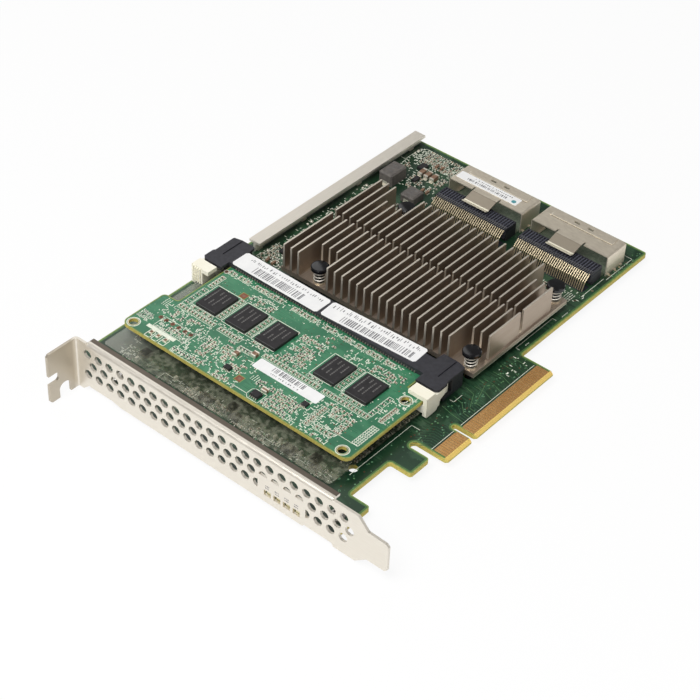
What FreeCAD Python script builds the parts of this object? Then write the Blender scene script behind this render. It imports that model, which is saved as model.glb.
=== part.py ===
"""Raid controller card: a half-length edge-connector card with a perforated slot bracket,
a finned heatsink, a cache module held in a latched socket and two cable sockets.

Everything is drawn from the card's own datum and moved to the row frame when it is saved:
X = 0 on the centre of the key notch (+X away from the bracket), Y = 0 at the finger tips
(+Y into the card), Z = 0 on the component face of the main board. Millimetres throughout.
"""
import FreeCAD, Part
import math
import os

Vector = FreeCAD.Vector

# ---------------------------------------------------------------- driving dimensions
# main board
BOARD_T = 1.57             # laminate thickness
BOARD_FAR_X = 109.4        # key notch centre to the far edge
BOARD_TOP_Y = 111.25       # finger tips to the top edge
BOARD_EDGE_GAP = 0.19      # board edge to the bracket plate
SHOULDER_Y = 12.3          # lower edge right of the tongue
LOWER_EDGE_Y = 12.0        # lower edge left of the hook
CORNER_R = 1.0             # routed corners
TONGUE_LEFT = 12.6         # key centre to the short end of the tongue
TONGUE_RIGHT = 39.6        # key centre to the long end of the tongue
KEY_W = 1.9                # key notch width
KEY_DEPTH = 8.1            # finger tips to the notch's round end
TIP_CHAMFER = 1.2          # chamfered tongue corners, along Y
TIP_BEVEL = 0.45           # lead-in bevel at the finger tips, in thickness
TIP_BEVEL_LENGTH = 0.9     # the same, along Y
SLOT_W = 2.9               # slot beside the tongue
SLOT_DEPTH = 12.4          # its round inner end
HOOK_W = 8.6               # retention hook
HOOK_Y = 4.3               # its lower edge
EAR_W = 15.4               # board ear beside the bracket, from the board edge
EAR_Y = 4.5                # its lower edge
TOOLING_HOLE = (-33.3, 17.9)
TOOLING_HOLE_D = 3.0

# edge contacts
PAD_PITCH = 1.0
PAD_W = 0.7
PAD_LENGTH = 4.1
PAD_SETBACK = 1.4          # finger tips to the pads
PAD_T = 0.05
PADS_SHORT = 11
PADS_LONG = 38
PAD_EDGE = 0.55            # notch wall to the first pad centre

# slot bracket
SHEET_T = 0.86
BRACKET_FACE_X = -57.39    # inner face of the plate
PLATE_TOP_Z = 14.57
BRACKET_TAB_Y = 104.9      # outer face of the screw tab
BRACKET_TIP_Y = -14.9      # end of the locating tongue
TONGUE_TOP_Z = 10.65
TONGUE_LOW_Z = 0.45
TONGUE_ROOT_Y = -4.3       # where the plate starts to narrow
BEND_R = 1.4               # outside radius of the flange's and the tab's bends
EAR_BEND_R = 1.0           # and of the ears' bends
FLANGE_DEPTH = 3.35        # return flange along the top edge, from the plate's outer face
FLANGE_START_Y = 5.0
FLANGE_END_Y = 100.0
TAB_REACH = 11.43          # plate's outer face to the end of the tab
TAB_LOW_Z = -3.85
TAB_SLOT_Z = 3.2           # lower wall of the slot for the chassis screw
TAB_SLOT_W = 3.15
TAB_SLOT_DEPTH = 4.03
TAB_NOTCH_W = 4.4          # round-topped notch in the tab's lower edge
TAB_NOTCH_TOP_Z = 1.0
EAR_DEPTH = 10.6           # ears under the board, from the plate's inner face
LOWER_EAR_Y = (4.8, 14.4)
UPPER_EAR_Y = (91.0, 99.3)
VENT_D = 3.05
VENT_PITCH = 4.49
VENTS_PER_ROW = 23
VENT_ROW_Z = 3.1           # lowest row
VENT_ROW_PITCH = 3.83
VENT_ROW_Y = (99.5, 97.3, 99.4)
LED_COUNT = 4
LED_PITCH = 3.57
LED_FIRST_Y = 17.5
LED_WINDOW = (2.6, 2.0)    # along Y and Z
LED_WINDOW_Z = 0.15        # its lower edge
LED_FIELD = (14.2, 31.9)   # stretch of plate round the windows, closed up to the middle row
LED_SIZE = (1.9, 2.2, 1.9)

# bracket screws
SCREW_HEAD_D = 4.8
SCREW_HEAD_H = 1.5
SCREW_D = 2.4
SCREW_HOLE_D = 2.9
SCREW_SETBACK = 6.4        # plate's inner face to the screws
SCREW_Y = (8.9, 95.2)
SCREW_PROUD = 0.5          # thread below the ear

# stiffener rail
RAIL_START_X = 22.0
RAIL_END_X = 107.9
RAIL_W = 4.5
RAIL_INSET = 4.5           # board's top edge to the rail's web
RAIL_TOP_Z = 4.3
RAIL_T = 0.9
RAIL_FOOT_PITCH = 28.4
RAIL_LAST_FOOT = 5.1       # from the rail's far end
RAIL_FOOT_W = 2.4
RAIL_FOOT_GAP = 0.6        # web to board between the feet
RAIL_TAB_W = 1.6           # tab soldered in a slot of the board
RAIL_TAB_LENGTH = 2.3
RAIL_TAB_PLAY = 0.1        # tab to the walls of its slot

# heatsink, controller chip and thermal pad
SINK_X = (18.5, 66.8)
SINK_Y = (14.9, 92.0)
SINK_BASE_Z = 2.4
SINK_BASE_T = 1.6
SINK_TOP_Z = 13.2
FIN_PITCH = 3.0
FIN_FIRST_Y = 15.5
FIN_COUNT = 26
FIN_ROOT_T = 0.9
FIN_TIP_T = 0.6
CROSS_CUT_X = 42.75
CROSS_CUT_W = 1.5
CROSS_CUT_FLOOR = 1.0      # above the base
CHIP_SIZE = 31.0
CHIP_T = 2.0
CHIP_CENTRE = (42.6, 50.5)
PAD_LAYER_SIZE = 27.0

# push pins
PIN_INSET_X = 2.5          # from the heatsink's ends
PIN_Y = (18.1, 77.9)
PIN_POCKET_X = 8.1         # fins cut back from the heatsink's ends
PIN_POCKET_W = 9.0
PIN_CAP_D = 6.0
PIN_CAP_T = 1.7
PIN_CAP_TOP_Z = 10.2
PIN_SHANK_D = 2.4
PIN_HOLE_D = 3.0
PIN_BARB_D = 4.2
PIN_TIP_Z = -3.85
PIN_TIP_D = 1.8
PIN_SPLIT_W = 0.6
SLEEVE_D = 4.2
SLEEVE_H = 2.0
SLEEVE_PLAY = 0.2
SPRING_D = 4.2
SPRING_WIRE = 0.5
SPRING_TURNS = 3
SPRING_STATIONS = 8        # straight runs in each turn
SEAT_GAP = 0.05            # seated faces that don't share a plane
SMALL_SIDES = 10           # facets of small round features that repeat
HOLE_SIDES = 20            # and of single holes and bearings

# module socket
SOCKET_MID_Y = 62.95       # the socket is symmetric about this plane
SOCKET_HALF = 46.1         # mid plane to the outer face of a tower
TOWER_DEPTH = 6.9
TOWER_X = (6.3, 15.9)
SOCKET_TOP_Z = 7.75
PLATE_X = (1.5, 16.3)      # top plate of a tower
PLATE_OVERHANG = 1.2       # top plate beyond the tower's outer face
PLATE_INNER = 1.4          # and beyond its inner face
PLATE_T = 0.9
PLATE_GROOVE = (0.5, 0.35)
BAR_X = (5.2, 13.0)
BAR_LIFT = 0.3             # bar above the board
MODULE_GAP = 0.2           # module to the walls of its slot
CONTACT_PITCH = 1.0
CONTACT_W = 0.4
CONTACT_T = 0.25
CONTACT_H = 0.65           # seen above the module

# latches
PIVOT_X = 9.0
PIVOT_IN = 1.95            # tower's outer face to the hinge axis
PIVOT_D = 1.2
PIVOT_Z = (0.5, 7.35)
PIVOT_CLEARANCE = 0.15
LATCH_X = -3.3
LATCH_PLATE_T = 1.4
LATCH_OUT = 1.3            # latch plate beyond the tower's outer face
LATCH_TOP_Z = 7.7
LATCH_LOW_Z = 0.3
LATCH_JAW_END_X = 0.7
LATCH_JAW_DEPTH = 7.1
LATCH_LOWER_JAW_DEPTH = 4.6
LATCH_ARM_T = 2.6
LATCH_ARM_Z = (1.5, 6.2)
LATCH_GAP = 0.25           # latch to the module and to the tower
LATCH_RIBS = 4
LATCH_RIB_W = 0.4

# cache module
MODULE_Z = 4.8
MODULE_T = 1.2
MODULE_X = (-37.0, 7.0)
MODULE_LENGTH = 90.1
MODULE_EDGE_GAP = 0.4      # lower edge to the right latch's plate
MODULE_NECK_GAP = 0.45     # neck to the socket's towers
MODULE_STEP_X = -18.3      # where its upper edge steps down to the neck
MODULE_NECK_X = -1.0       # where its lower edge steps up to the neck
MODULE_CORNER_R = 2.5
MODULE_HOLE_D = 2.9
MODULE_HOLE_INSET = (2.5, 2.65)    # upper left hole from the module's corner
MODULE_LOW_HOLE_Y = 4.0    # lower holes from the lower edge
MODULE_LOW_HOLE_X = (2.4, 30.8)    # and from the left edge
MEMORY_SIZE = (10.6, 8.1, 1.1)
MEMORY_X = -10.7
MEMORY_Y = (29.35, 17.05, 4.85, -18.45, -30.75)    # from the socket's mid plane
MEMORY_UNDER_Y = (23.15, 10.95, -12.35, -24.65)

# insulating film
FILM_X = (-44.0, -1.5)
FILM_EDGE_GAP = 0.7        # either end to the latch plates
FILM_Z = 1.3
FILM_T = 0.2
FILM_CORNER = 0.8

# cable sockets
SAS_X = (89.7, 100.2)      # cage, mouth at the far end
SAS_Y = (15.4, 49.6)       # lower side of each cage
SAS_W = 30.4
SAS_H = 7.8
CAGE_T = 0.35
CAGE_EMBOSS = 0.2
CAGE_EMBOSS_X = 96.15
CAGE_EMBOSS_W = 24.5
CAGE_SLOT = (0.8, 2.1)
CAGE_SLOT_X = 98.0
CAGE_SLOT_Y = 2.7          # either side of the cage's centre
TAB_W = 10.0               # spring tab
TAB_SLIT_W = 0.6
TAB_ROOT_X = 91.2
TAB_END_X = 83.4
TAB_DROP = 1.3
TAB_LIP = 0.6
CAGE_FOOT = (3.4, 0.9, 0.35)       # foot bent inward from the upper wall
CAGE_FOOT_X = 94.0
CAGE_PIN = (0.8, 0.5, 0.4)         # soldered ends outside the lower wall
CAGE_PIN_X = (90.6, 94.2, 97.8)
HOUSING_X = (81.5, 87.7)
HOUSING_H = 5.2
HOUSING_SIDE_GAP = 0.6
HOUSING_STEP = (1.2, 1.6)  # ledge along its back, depth and height
PLUG_SLOT = (22.4, 1.4)    # slot for the plug's tongue, along Y and Z
PLUG_SLOT_Z = 2.3
PLUG_SLOT_DEPTH = 5.0
LEAD_COUNT = 36
LEAD_PITCH = 0.8
LEAD_W = 0.35
LEAD_T = 0.25
LEAD_TOP_Z = 4.8
LEAD_RUN = 2.4             # housing to the bend
LEAD_DROP = 1.9
LEAD_REACH = 3.6           # housing to the foot

# power parts and small parts, their Y from the rail
INDUCTOR_LARGE = ((80.0, 88.5), (-9.75, -4.05), 4.7)
INDUCTOR_SMALL = ((76.5, 82.8), (-21.95, -16.25), 3.1)
CAP_X = (91.9, 95.5)
CAP_Y = (-17.65, -15.1, -12.55)
CAP_W = 1.6
CAP_H = 1.5

# labels: middle from the bar's or the module's own middle, width, length and turn
LABEL_T = 0.1
LABEL_CORNER = 0.7
SMALL_LABEL_CORNER = 0.3
SOCKET_LABEL_UPPER = (-0.3, 20.45, 7.5, 35.6, -0.6)
SOCKET_LABEL_LOWER = (0.75, -16.2, 7.4, 35.8, 3.0)
MODULE_LABEL = (-22.95, -10.95, 4.5, 25.2, 0.0)
CAGE_LABEL_MARGIN = (2.2, 1.0)     # from the cage's ends
CAGE_LABEL_GAP = 0.25      # to the embossed lip

# ---------------------------------------------------------------- derived values
PLATE_OUT_X = BRACKET_FACE_X - SHEET_T
PLATE_LOW_Z = -BOARD_T - SHEET_T
TAB_END_OUT_X = PLATE_OUT_X - TAB_REACH
BOARD_LEFT_X = BRACKET_FACE_X + BOARD_EDGE_GAP
BOARD_EAR_X = BOARD_LEFT_X + EAR_W
HOOK_RIGHT_X = -TONGUE_LEFT - SLOT_W
HOOK_LEFT_X = HOOK_RIGHT_X - HOOK_W
SCREW_X = BRACKET_FACE_X + SCREW_SETBACK
RAIL_Y = BOARD_TOP_Y - RAIL_INSET
SINK_BASE_TOP = SINK_BASE_Z + SINK_BASE_T
PIN_X = (SINK_X[0] + PIN_INSET_X, SINK_X[1] - PIN_INSET_X)
PIN_PLACES = [(x, y) for x in PIN_X for y in PIN_Y]
BAR_MIDDLE = ((BAR_X[0] + BAR_X[1]) / 2, SOCKET_MID_Y)
TOWER_OUT_Y = SOCKET_MID_Y - SOCKET_HALF
TOWER_IN_Y = TOWER_OUT_Y + TOWER_DEPTH
TOWER_TOP_Z = SOCKET_TOP_Z - PLATE_T
PIVOT_Y = TOWER_OUT_Y + PIVOT_IN
LATCH_Y = TOWER_OUT_Y - LATCH_OUT
LATCH_PLATE_Y = LATCH_Y + LATCH_PLATE_T
MODULE_TOP = MODULE_Z + MODULE_T
MODULE_Y = (LATCH_PLATE_Y + MODULE_EDGE_GAP, LATCH_PLATE_Y + MODULE_EDGE_GAP + MODULE_LENGTH)
NECK_Y = (TOWER_IN_Y + MODULE_NECK_GAP, 2 * SOCKET_MID_Y - TOWER_IN_Y - MODULE_NECK_GAP)
FILM_Y = (LATCH_PLATE_Y + FILM_EDGE_GAP, 2 * SOCKET_MID_Y - LATCH_PLATE_Y - FILM_EDGE_GAP)
VENT_ROWS = [(z * VENT_ROW_PITCH + VENT_ROW_Z, y) for z, y in enumerate(VENT_ROW_Y)]
BASE = Vector((TAB_END_OUT_X + BOARD_FAR_X) / 2,
              (BRACKET_TIP_Y + BOARD_TOP_Y) / 2,
              min(TAB_LOW_Z, PIN_TIP_Z))


# ---------------------------------------------------------------- drawing helpers
def box(x, y, z):
    """Block between pairs of coordinates."""
    return Part.makeBox(x[1] - x[0], y[1] - y[0], z[1] - z[0], Vector(x[0], y[0], z[0]))


def polygon(a, b, diameter, sides):
    """Corners of a regular outline with the area of the circle it stands for."""
    swing = 2 * math.pi / sides
    radius = diameter / 2 * math.sqrt(swing / math.sin(swing))
    return [(a + radius * math.cos((k + 0.5) * swing), b + radius * math.sin((k + 0.5) * swing))
            for k in range(sides)]


def rod(x, y, z, diameter, sides=SMALL_SIDES):
    """Faceted round bar along Z between two heights."""
    return plan(polygon(x, y, diameter, sides), z)


def skin(rings, flat):
    """Solid over successive rings of corners; its sides are halved where they aren't flat."""
    facets = [rings[0], rings[-1]]
    for start, end in zip(rings, rings[1:]):
        for i, corner in enumerate(start):
            j = (i + 1) % len(start)
            quad = [corner, start[j], end[j], end[i]]
            facets += [quad] if flat else [quad[:3], [quad[0], quad[2], quad[3]]]
    faces = [Part.Face(Part.makePolygon(facet + facet[:1])) for facet in facets]
    solid = Part.makeSolid(Part.makeShell(faces))
    return solid if solid.Volume > 0 else solid.reversed()


def unit(start, end):
    length = math.hypot(end[0] - start[0], end[1] - start[1])
    return (end[0] - start[0]) / length, (end[1] - start[1]) / length


def outline(points, lift):
    """Closed wire through flat corners (a, b) or (a, b, radius), lifted into space."""
    corners = [tuple(p) + (0.0,) * (3 - len(p)) for p in points]
    stations = []
    for i, (a, b, r) in enumerate(corners):
        before = unit((a, b), corners[i - 1])
        after = unit((a, b), corners[(i + 1) % len(corners)])
        half = math.acos(max(-1.0, min(1.0, before[0] * after[0] + before[1] * after[1]))) / 2
        if r <= 0:
            stations.append([(a, b)])
            continue
        run = r / math.tan(half)
        middle = unit((0, 0), (before[0] + after[0], before[1] + after[1]))
        reach = r / math.sin(half) - r
        stations.append([(a + before[0] * run, b + before[1] * run),
                         (a + middle[0] * reach, b + middle[1] * reach),
                         (a + after[0] * run, b + after[1] * run)])
    edges = []
    for i, station in enumerate(stations):
        if len(station) == 3:
            edges.append(Part.Arc(*[lift(*p) for p in station]).toShape())
        start = lift(*station[-1])
        end = lift(*stations[(i + 1) % len(stations)][0])
        if start.distanceToPoint(end) > 1e-6:
            edges.append(Part.LineSegment(start, end).toShape())
    return Part.Wire(edges)


def plan(points, z):
    """Prism of an XY outline between two heights."""
    wire = outline(points, lambda a, b: Vector(a, b, z[0]))
    return Part.Face(wire).extrude(Vector(0, 0, z[1] - z[0]))


def side(points, x):
    """Prism of a YZ outline between two X values."""
    wire = outline(points, lambda a, b: Vector(x[0], a, b))
    return Part.Face(wire).extrude(Vector(x[1] - x[0], 0, 0))


def front(points, y):
    """Prism of an XZ outline between two Y values."""
    wire = outline(points, lambda a, b: Vector(a, y[0], b))
    return Part.Face(wire).extrude(Vector(0, y[1] - y[0], 0))


def rectangle(a, b, r=0.0):
    return [(a[0], b[0], r), (a[1], b[0], r), (a[1], b[1], r), (a[0], b[1], r)]


def ribbon(path, thickness):
    """Outline of a bent strip whose one face follows a flat path."""
    offset = []
    for i, point in enumerate(path):
        turns = []
        if i > 0:
            turns.append(unit(path[i - 1], point))
        if i < len(path) - 1:
            turns.append(unit(point, path[i + 1]))
        normal = unit((0, 0), (-sum(t[1] for t in turns), sum(t[0] for t in turns)))
        stretch = normal[0] * -turns[0][1] + normal[1] * turns[0][0]
        offset.append((point[0] + normal[0] * thickness / stretch,
                       point[1] + normal[1] * thickness / stretch))
    return list(path) + offset[::-1]


def clipped(a, b, corner):
    """Rectangle with its corners cut off."""
    return [(a[0] + corner, b[0]), (a[1] - corner, b[0]), (a[1], b[0] + corner), (a[1], b[1] - corner),
            (a[1] - corner, b[1]), (a[0] + corner, b[1]), (a[0], b[1] - corner), (a[0], b[0] + corner)]


def turned(profile, x, y):
    """Faceted turned piece of (diameter, z) stations; a shoulder where two share a height."""
    rings = [[Vector(a, b, z) for a, b in polygon(x, y, diameter, SMALL_SIDES)]
             for diameter, z in profile]
    lengths = [skin([low, high], True) for low, high in zip(rings, rings[1:]) if high[0].z > low[0].z]
    return lengths[0].fuse(lengths[1:]).removeSplitter()


def mirrored(shape):
    """The same piece at the other end of the module socket."""
    return shape.mirror(Vector(0, SOCKET_MID_Y, 0), Vector(0, 1, 0))


def group(shapes):
    return Part.makeCompound(shapes)


# ---------------------------------------------------------------- main board
def main_board():
    half_key = KEY_W / 2
    chamfer_x = TIP_CHAMFER / 3
    points = [
        (BOARD_LEFT_X, EAR_Y, CORNER_R),
        (BOARD_EAR_X, EAR_Y, CORNER_R),
        (BOARD_EAR_X, LOWER_EDGE_Y, CORNER_R),
        (HOOK_LEFT_X, LOWER_EDGE_Y, CORNER_R),
        (HOOK_LEFT_X, HOOK_Y, CORNER_R),
        (HOOK_RIGHT_X, HOOK_Y, CORNER_R),
        (HOOK_RIGHT_X, SLOT_DEPTH, SLOT_W / 2.01),
        (-TONGUE_LEFT, SLOT_DEPTH, SLOT_W / 2.01),
        (-TONGUE_LEFT, TIP_CHAMFER),
        (-TONGUE_LEFT + chamfer_x, 0),
        (-half_key - chamfer_x, 0),
        (-half_key, TIP_CHAMFER),
        (-half_key, KEY_DEPTH, KEY_W / 2.01),
        (half_key, KEY_DEPTH, KEY_W / 2.01),
        (half_key, TIP_CHAMFER),
        (half_key + chamfer_x, 0),
        (TONGUE_RIGHT - chamfer_x, 0),
        (TONGUE_RIGHT, TIP_CHAMFER),
        (TONGUE_RIGHT, SHOULDER_Y, CORNER_R),
        (BOARD_FAR_X, SHOULDER_Y, CORNER_R),
        (BOARD_FAR_X, BOARD_TOP_Y, CORNER_R),
        (BOARD_LEFT_X, BOARD_TOP_Y, CORNER_R),
    ]
    board = plan(points, (-BOARD_T, 0))
    span = (-TONGUE_LEFT - 1, TONGUE_RIGHT + 1)
    for face, into in ((0, -TIP_BEVEL), (-BOARD_T, TIP_BEVEL)):
        wedge = [(-1, face + (into * (1 + 1 / TIP_BEVEL_LENGTH))), (TIP_BEVEL_LENGTH, face), (-1, face)]
        board = board.cut(side(wedge, span))
    through = (-BOARD_T - 1, 1)
    holes = [rod(*TOOLING_HOLE, through, TOOLING_HOLE_D, HOLE_SIDES)]
    holes += [rod(SCREW_X, y, through, SCREW_HOLE_D) for y in SCREW_Y]
    holes += [rod(x, y, through, PIN_HOLE_D) for x, y in PIN_PLACES]
    holes += [rail_tab(x, through, RAIL_TAB_PLAY) for x in rail_feet()]
    return board.cut(group(holes))


def edge_contacts():
    """Gold pads on both faces of the tongue."""
    short = [-KEY_W / 2 - PAD_EDGE - i * PAD_PITCH for i in range(PADS_SHORT)]
    long = [KEY_W / 2 + PAD_EDGE + i * PAD_PITCH for i in range(PADS_LONG)]
    pads = []
    for x in short + long:
        for low in (0, -BOARD_T - PAD_T):
            pads.append(box((x - PAD_W / 2, x + PAD_W / 2),
                            (PAD_SETBACK, PAD_SETBACK + PAD_LENGTH), (low, low + PAD_T)))
    return group(pads)


# ---------------------------------------------------------------- slot bracket
def angle(corner, along, up, radius):
    """Outline of sheet bent square: a leg from the corner to `along`, another up to `up`."""
    a, b = corner
    step_a = math.copysign(SHEET_T, along - a)
    step_b = math.copysign(SHEET_T, up - b)
    inner = max(radius - SHEET_T, 0.05)
    return [(a, b, radius), (along, b), (along, b + step_b), (a + step_a, b + step_b, inner),
            (a + step_a, up), (a, up)]


def bracket_plate():
    """The flat plate with its tongue, up to where the tab and flange bend away."""
    neck_z = PLATE_TOP_Z - 3.7
    tab_root = BRACKET_TAB_Y - BEND_R
    points = [
        (TONGUE_ROOT_Y, PLATE_TOP_Z),
        (TONGUE_ROOT_Y - 3.5, neck_z, 1.0),
        (BRACKET_TIP_Y + 0.9, TONGUE_TOP_Z, 0.5),
        (BRACKET_TIP_Y, TONGUE_TOP_Z - 0.9),
        (BRACKET_TIP_Y, TONGUE_LOW_Z + 0.9),
        (BRACKET_TIP_Y + 0.9, TONGUE_LOW_Z, 0.5),
        (TONGUE_ROOT_Y - 3.4, TONGUE_LOW_Z, 1.0),
        (TONGUE_ROOT_Y + 0.6, PLATE_LOW_Z - 0.37, 1.0),
        (LOWER_EAR_Y[0] - 0.8, PLATE_LOW_Z - 0.37),
        (LOWER_EAR_Y[0], PLATE_LOW_Z + EAR_BEND_R),
        (LOWER_EAR_Y[1], PLATE_LOW_Z + EAR_BEND_R),
        (LOWER_EAR_Y[1] + 0.8, PLATE_LOW_Z),
        (UPPER_EAR_Y[0] - 4.5, PLATE_LOW_Z),
        (UPPER_EAR_Y[0], PLATE_LOW_Z + EAR_BEND_R),
        (UPPER_EAR_Y[1], PLATE_LOW_Z + EAR_BEND_R),
        (UPPER_EAR_Y[1] + 2.8, TAB_LOW_Z),
        (tab_root, TAB_LOW_Z),
        (tab_root, PLATE_TOP_Z),
        (FLANGE_END_Y, PLATE_TOP_Z),
        (FLANGE_END_Y, PLATE_TOP_Z - BEND_R),
        (FLANGE_START_Y, PLATE_TOP_Z - BEND_R),
        (FLANGE_START_Y, PLATE_TOP_Z),
    ]
    return side(points, (PLATE_OUT_X, BRACKET_FACE_X))


def bracket_holes():
    """Three staggered rows of vents, cut short at the LED field, and the LED windows."""
    sheet = (PLATE_OUT_X - 1, BRACKET_FACE_X + 1)
    vents = []
    for z, last_y in VENT_ROWS:
        for i in range(VENTS_PER_ROW):
            vents.append(side(polygon(last_y - i * VENT_PITCH, z, VENT_D, SMALL_SIDES), sheet))
    field = side(rectangle(LED_FIELD, (PLATE_LOW_Z, VENT_ROWS[1][0])), sheet)
    vents = group(vents).cut(field)
    windows = [box(sheet, (y - LED_WINDOW[0] / 2, y + LED_WINDOW[0] / 2),
                   (LED_WINDOW_Z, LED_WINDOW_Z + LED_WINDOW[1])) for y in led_places()]
    return group(vents.Solids + windows)


def led_places():
    return [LED_FIRST_Y + i * LED_PITCH for i in range(LED_COUNT)]


def bracket_tab():
    """Screw tab bent outward, with its side slot and the notch in its lower edge."""
    corner = 0.75
    tab = plan(angle((BRACKET_FACE_X, BRACKET_TAB_Y), TAB_END_OUT_X, BRACKET_TAB_Y - BEND_R, BEND_R),
               (TAB_LOW_Z, PLATE_TOP_Z))
    sheet = (BRACKET_TAB_Y - BEND_R - 1, BRACKET_TAB_Y + 1)
    slot = front(rectangle((TAB_END_OUT_X - TAB_SLOT_W, TAB_END_OUT_X + TAB_SLOT_DEPTH),
                           (TAB_SLOT_Z, TAB_SLOT_Z + TAB_SLOT_W), TAB_SLOT_W / 2.5), sheet)
    notch_x = PLATE_OUT_X - 3.2 - TAB_NOTCH_W
    notch = front(rectangle((notch_x, notch_x + TAB_NOTCH_W),
                            (TAB_LOW_Z - TAB_NOTCH_W, TAB_NOTCH_TOP_Z), TAB_NOTCH_W / 2.2), sheet)
    corners = []
    for z, way in ((TAB_LOW_Z, 1), (PLATE_TOP_Z, -1)):
        corners.append(front([(TAB_END_OUT_X - 1, z - way), (TAB_END_OUT_X + corner + 1, z - way),
                              (TAB_END_OUT_X - 1, z + way * (corner + 1))], sheet))
    return tab.cut(group([slot, notch] + corners))


def slot_bracket():
    flange = front(angle((PLATE_OUT_X, PLATE_TOP_Z), PLATE_OUT_X + FLANGE_DEPTH,
                         PLATE_TOP_Z - BEND_R, BEND_R), (FLANGE_START_Y, FLANGE_END_Y))
    sheet = bracket_plate().fuse([flange, bracket_tab()])
    for span in (LOWER_EAR_Y, UPPER_EAR_Y):
        ear = angle((PLATE_OUT_X, PLATE_LOW_Z), BRACKET_FACE_X + EAR_DEPTH,
                    PLATE_LOW_Z + EAR_BEND_R, EAR_BEND_R)
        sheet = sheet.fuse(front(ear, span))
    screw_holes = [rod(SCREW_X, y, (PLATE_LOW_Z - 1, 0), SCREW_D) for y in SCREW_Y]
    return sheet.cut(group(bracket_holes().Solids + screw_holes)).removeSplitter()


def bracket_screws():
    """Pan-head screws from the component face into the ears."""
    screws = []
    for y in SCREW_Y:
        tip = PLATE_LOW_Z - SCREW_PROUD
        profile = [(SCREW_D, tip), (SCREW_D, 0), (SCREW_HEAD_D, 0),
                   (SCREW_HEAD_D, SCREW_HEAD_H / 2), (SCREW_HEAD_D * 0.7, SCREW_HEAD_H)]
        recess = group([box((SCREW_X - a, SCREW_X + a), (y - b, y + b), (SCREW_HEAD_H / 2, SCREW_HEAD_H + 1))
                        for a, b in ((1.2, 0.3), (0.3, 1.2))])
        screws.append(turned(profile, SCREW_X, y).cut(recess))
    return group(screws)


def status_leds():
    start = BOARD_LEFT_X + SEAT_GAP
    return group([box((start, start + LED_SIZE[0]), (y - LED_SIZE[1] / 2, y + LED_SIZE[1] / 2),
                      (0, LED_SIZE[2])) for y in led_places()])


# ---------------------------------------------------------------- stiffener rail
def rail_feet():
    """Feet from the rail's near end to its far end."""
    last = RAIL_END_X - RAIL_LAST_FOOT
    return [RAIL_START_X + RAIL_FOOT_W] + [last - i * RAIL_FOOT_PITCH for i in (2, 1, 0)]


def rail_tab(x, z, play=0.0):
    """Tab of a foot, or with play the slot for it."""
    return box((x - RAIL_TAB_W / 2 - play, x + RAIL_TAB_W / 2 + play),
               (RAIL_Y - RAIL_T / 2 - play, RAIL_Y + RAIL_T / 2 + play), z)


def stiffener_rail():
    """T-section rail standing on soldered feet."""
    under = RAIL_TOP_Z - RAIL_T
    half = RAIL_W / 2
    profile = [(RAIL_Y - half, under), (RAIL_Y - RAIL_T / 2, under), (RAIL_Y - RAIL_T / 2, 0),
               (RAIL_Y + RAIL_T / 2, 0), (RAIL_Y + RAIL_T / 2, under), (RAIL_Y + half, under),
               (RAIL_Y + half, RAIL_TOP_Z), (RAIL_Y - half, RAIL_TOP_Z)]
    rail = side(profile, (RAIL_START_X, RAIL_END_X))
    feet = rail_feet()
    ends = [RAIL_START_X] + [x + way * RAIL_FOOT_W / 2 for x in feet for way in (-1, 1)] + [RAIL_END_X]
    gaps = [box((left, right), (RAIL_Y - half, RAIL_Y + half), (0, RAIL_FOOT_GAP))
            for left, right in zip(ends[::2], ends[1::2])]
    tabs = [rail_tab(x, (-RAIL_TAB_LENGTH, RAIL_FOOT_GAP)) for x in feet]
    return rail.cut(group(gaps)).fuse(tabs).removeSplitter()


# ---------------------------------------------------------------- heatsink
def heatsink():
    """Extruded comb, cross-cut and relieved at the pins."""
    comb = [(SINK_Y[0], SINK_BASE_Z)]
    comb.append((SINK_Y[1], SINK_BASE_Z))
    comb.append((SINK_Y[1], SINK_BASE_TOP))
    for i in reversed(range(FIN_COUNT)):
        middle = FIN_FIRST_Y + FIN_ROOT_T / 2 + i * FIN_PITCH
        comb += [(middle + FIN_ROOT_T / 2, SINK_BASE_TOP), (middle + FIN_TIP_T / 2, SINK_TOP_Z),
                 (middle - FIN_TIP_T / 2, SINK_TOP_Z), (middle - FIN_ROOT_T / 2, SINK_BASE_TOP)]
    comb.append((SINK_Y[0], SINK_BASE_TOP))
    sink = side(comb, SINK_X)
    above = (SINK_BASE_TOP, SINK_TOP_Z + 1)
    cuts = [box((CROSS_CUT_X - CROSS_CUT_W / 2, CROSS_CUT_X + CROSS_CUT_W / 2),
                (SINK_Y[0] - 1, SINK_Y[1] + 1), (SINK_BASE_TOP + CROSS_CUT_FLOOR, SINK_TOP_Z + 1))]
    for y in PIN_Y:
        span = (y - PIN_POCKET_W / 2, y + PIN_POCKET_W / 2)
        cuts.append(box((SINK_X[0] - 1, SINK_X[0] + PIN_POCKET_X), span, above))
        cuts.append(box((SINK_X[1] - PIN_POCKET_X, SINK_X[1] + 1), span, above))
    cuts += [rod(x, y, (SINK_BASE_Z - 1, SINK_BASE_TOP + 1), PIN_HOLE_D) for x, y in PIN_PLACES]
    return sink.cut(group(cuts)).removeSplitter()


def controller_chip():
    """Ball-grid package: substrate with a raised lid."""
    half = CHIP_SIZE / 2
    x, y = CHIP_CENTRE
    substrate = box((x - half, x + half), (y - half, y + half), (0, CHIP_T * 0.6))
    lid = half * 0.86
    cover = box((x - lid, x + lid), (y - lid, y + lid), (CHIP_T * 0.6, CHIP_T))
    return substrate.fuse(cover)


def thermal_pad():
    half = PAD_LAYER_SIZE / 2
    x, y = CHIP_CENTRE
    return box((x - half, x + half), (y - half, y + half), (CHIP_T, SINK_BASE_Z))


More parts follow.
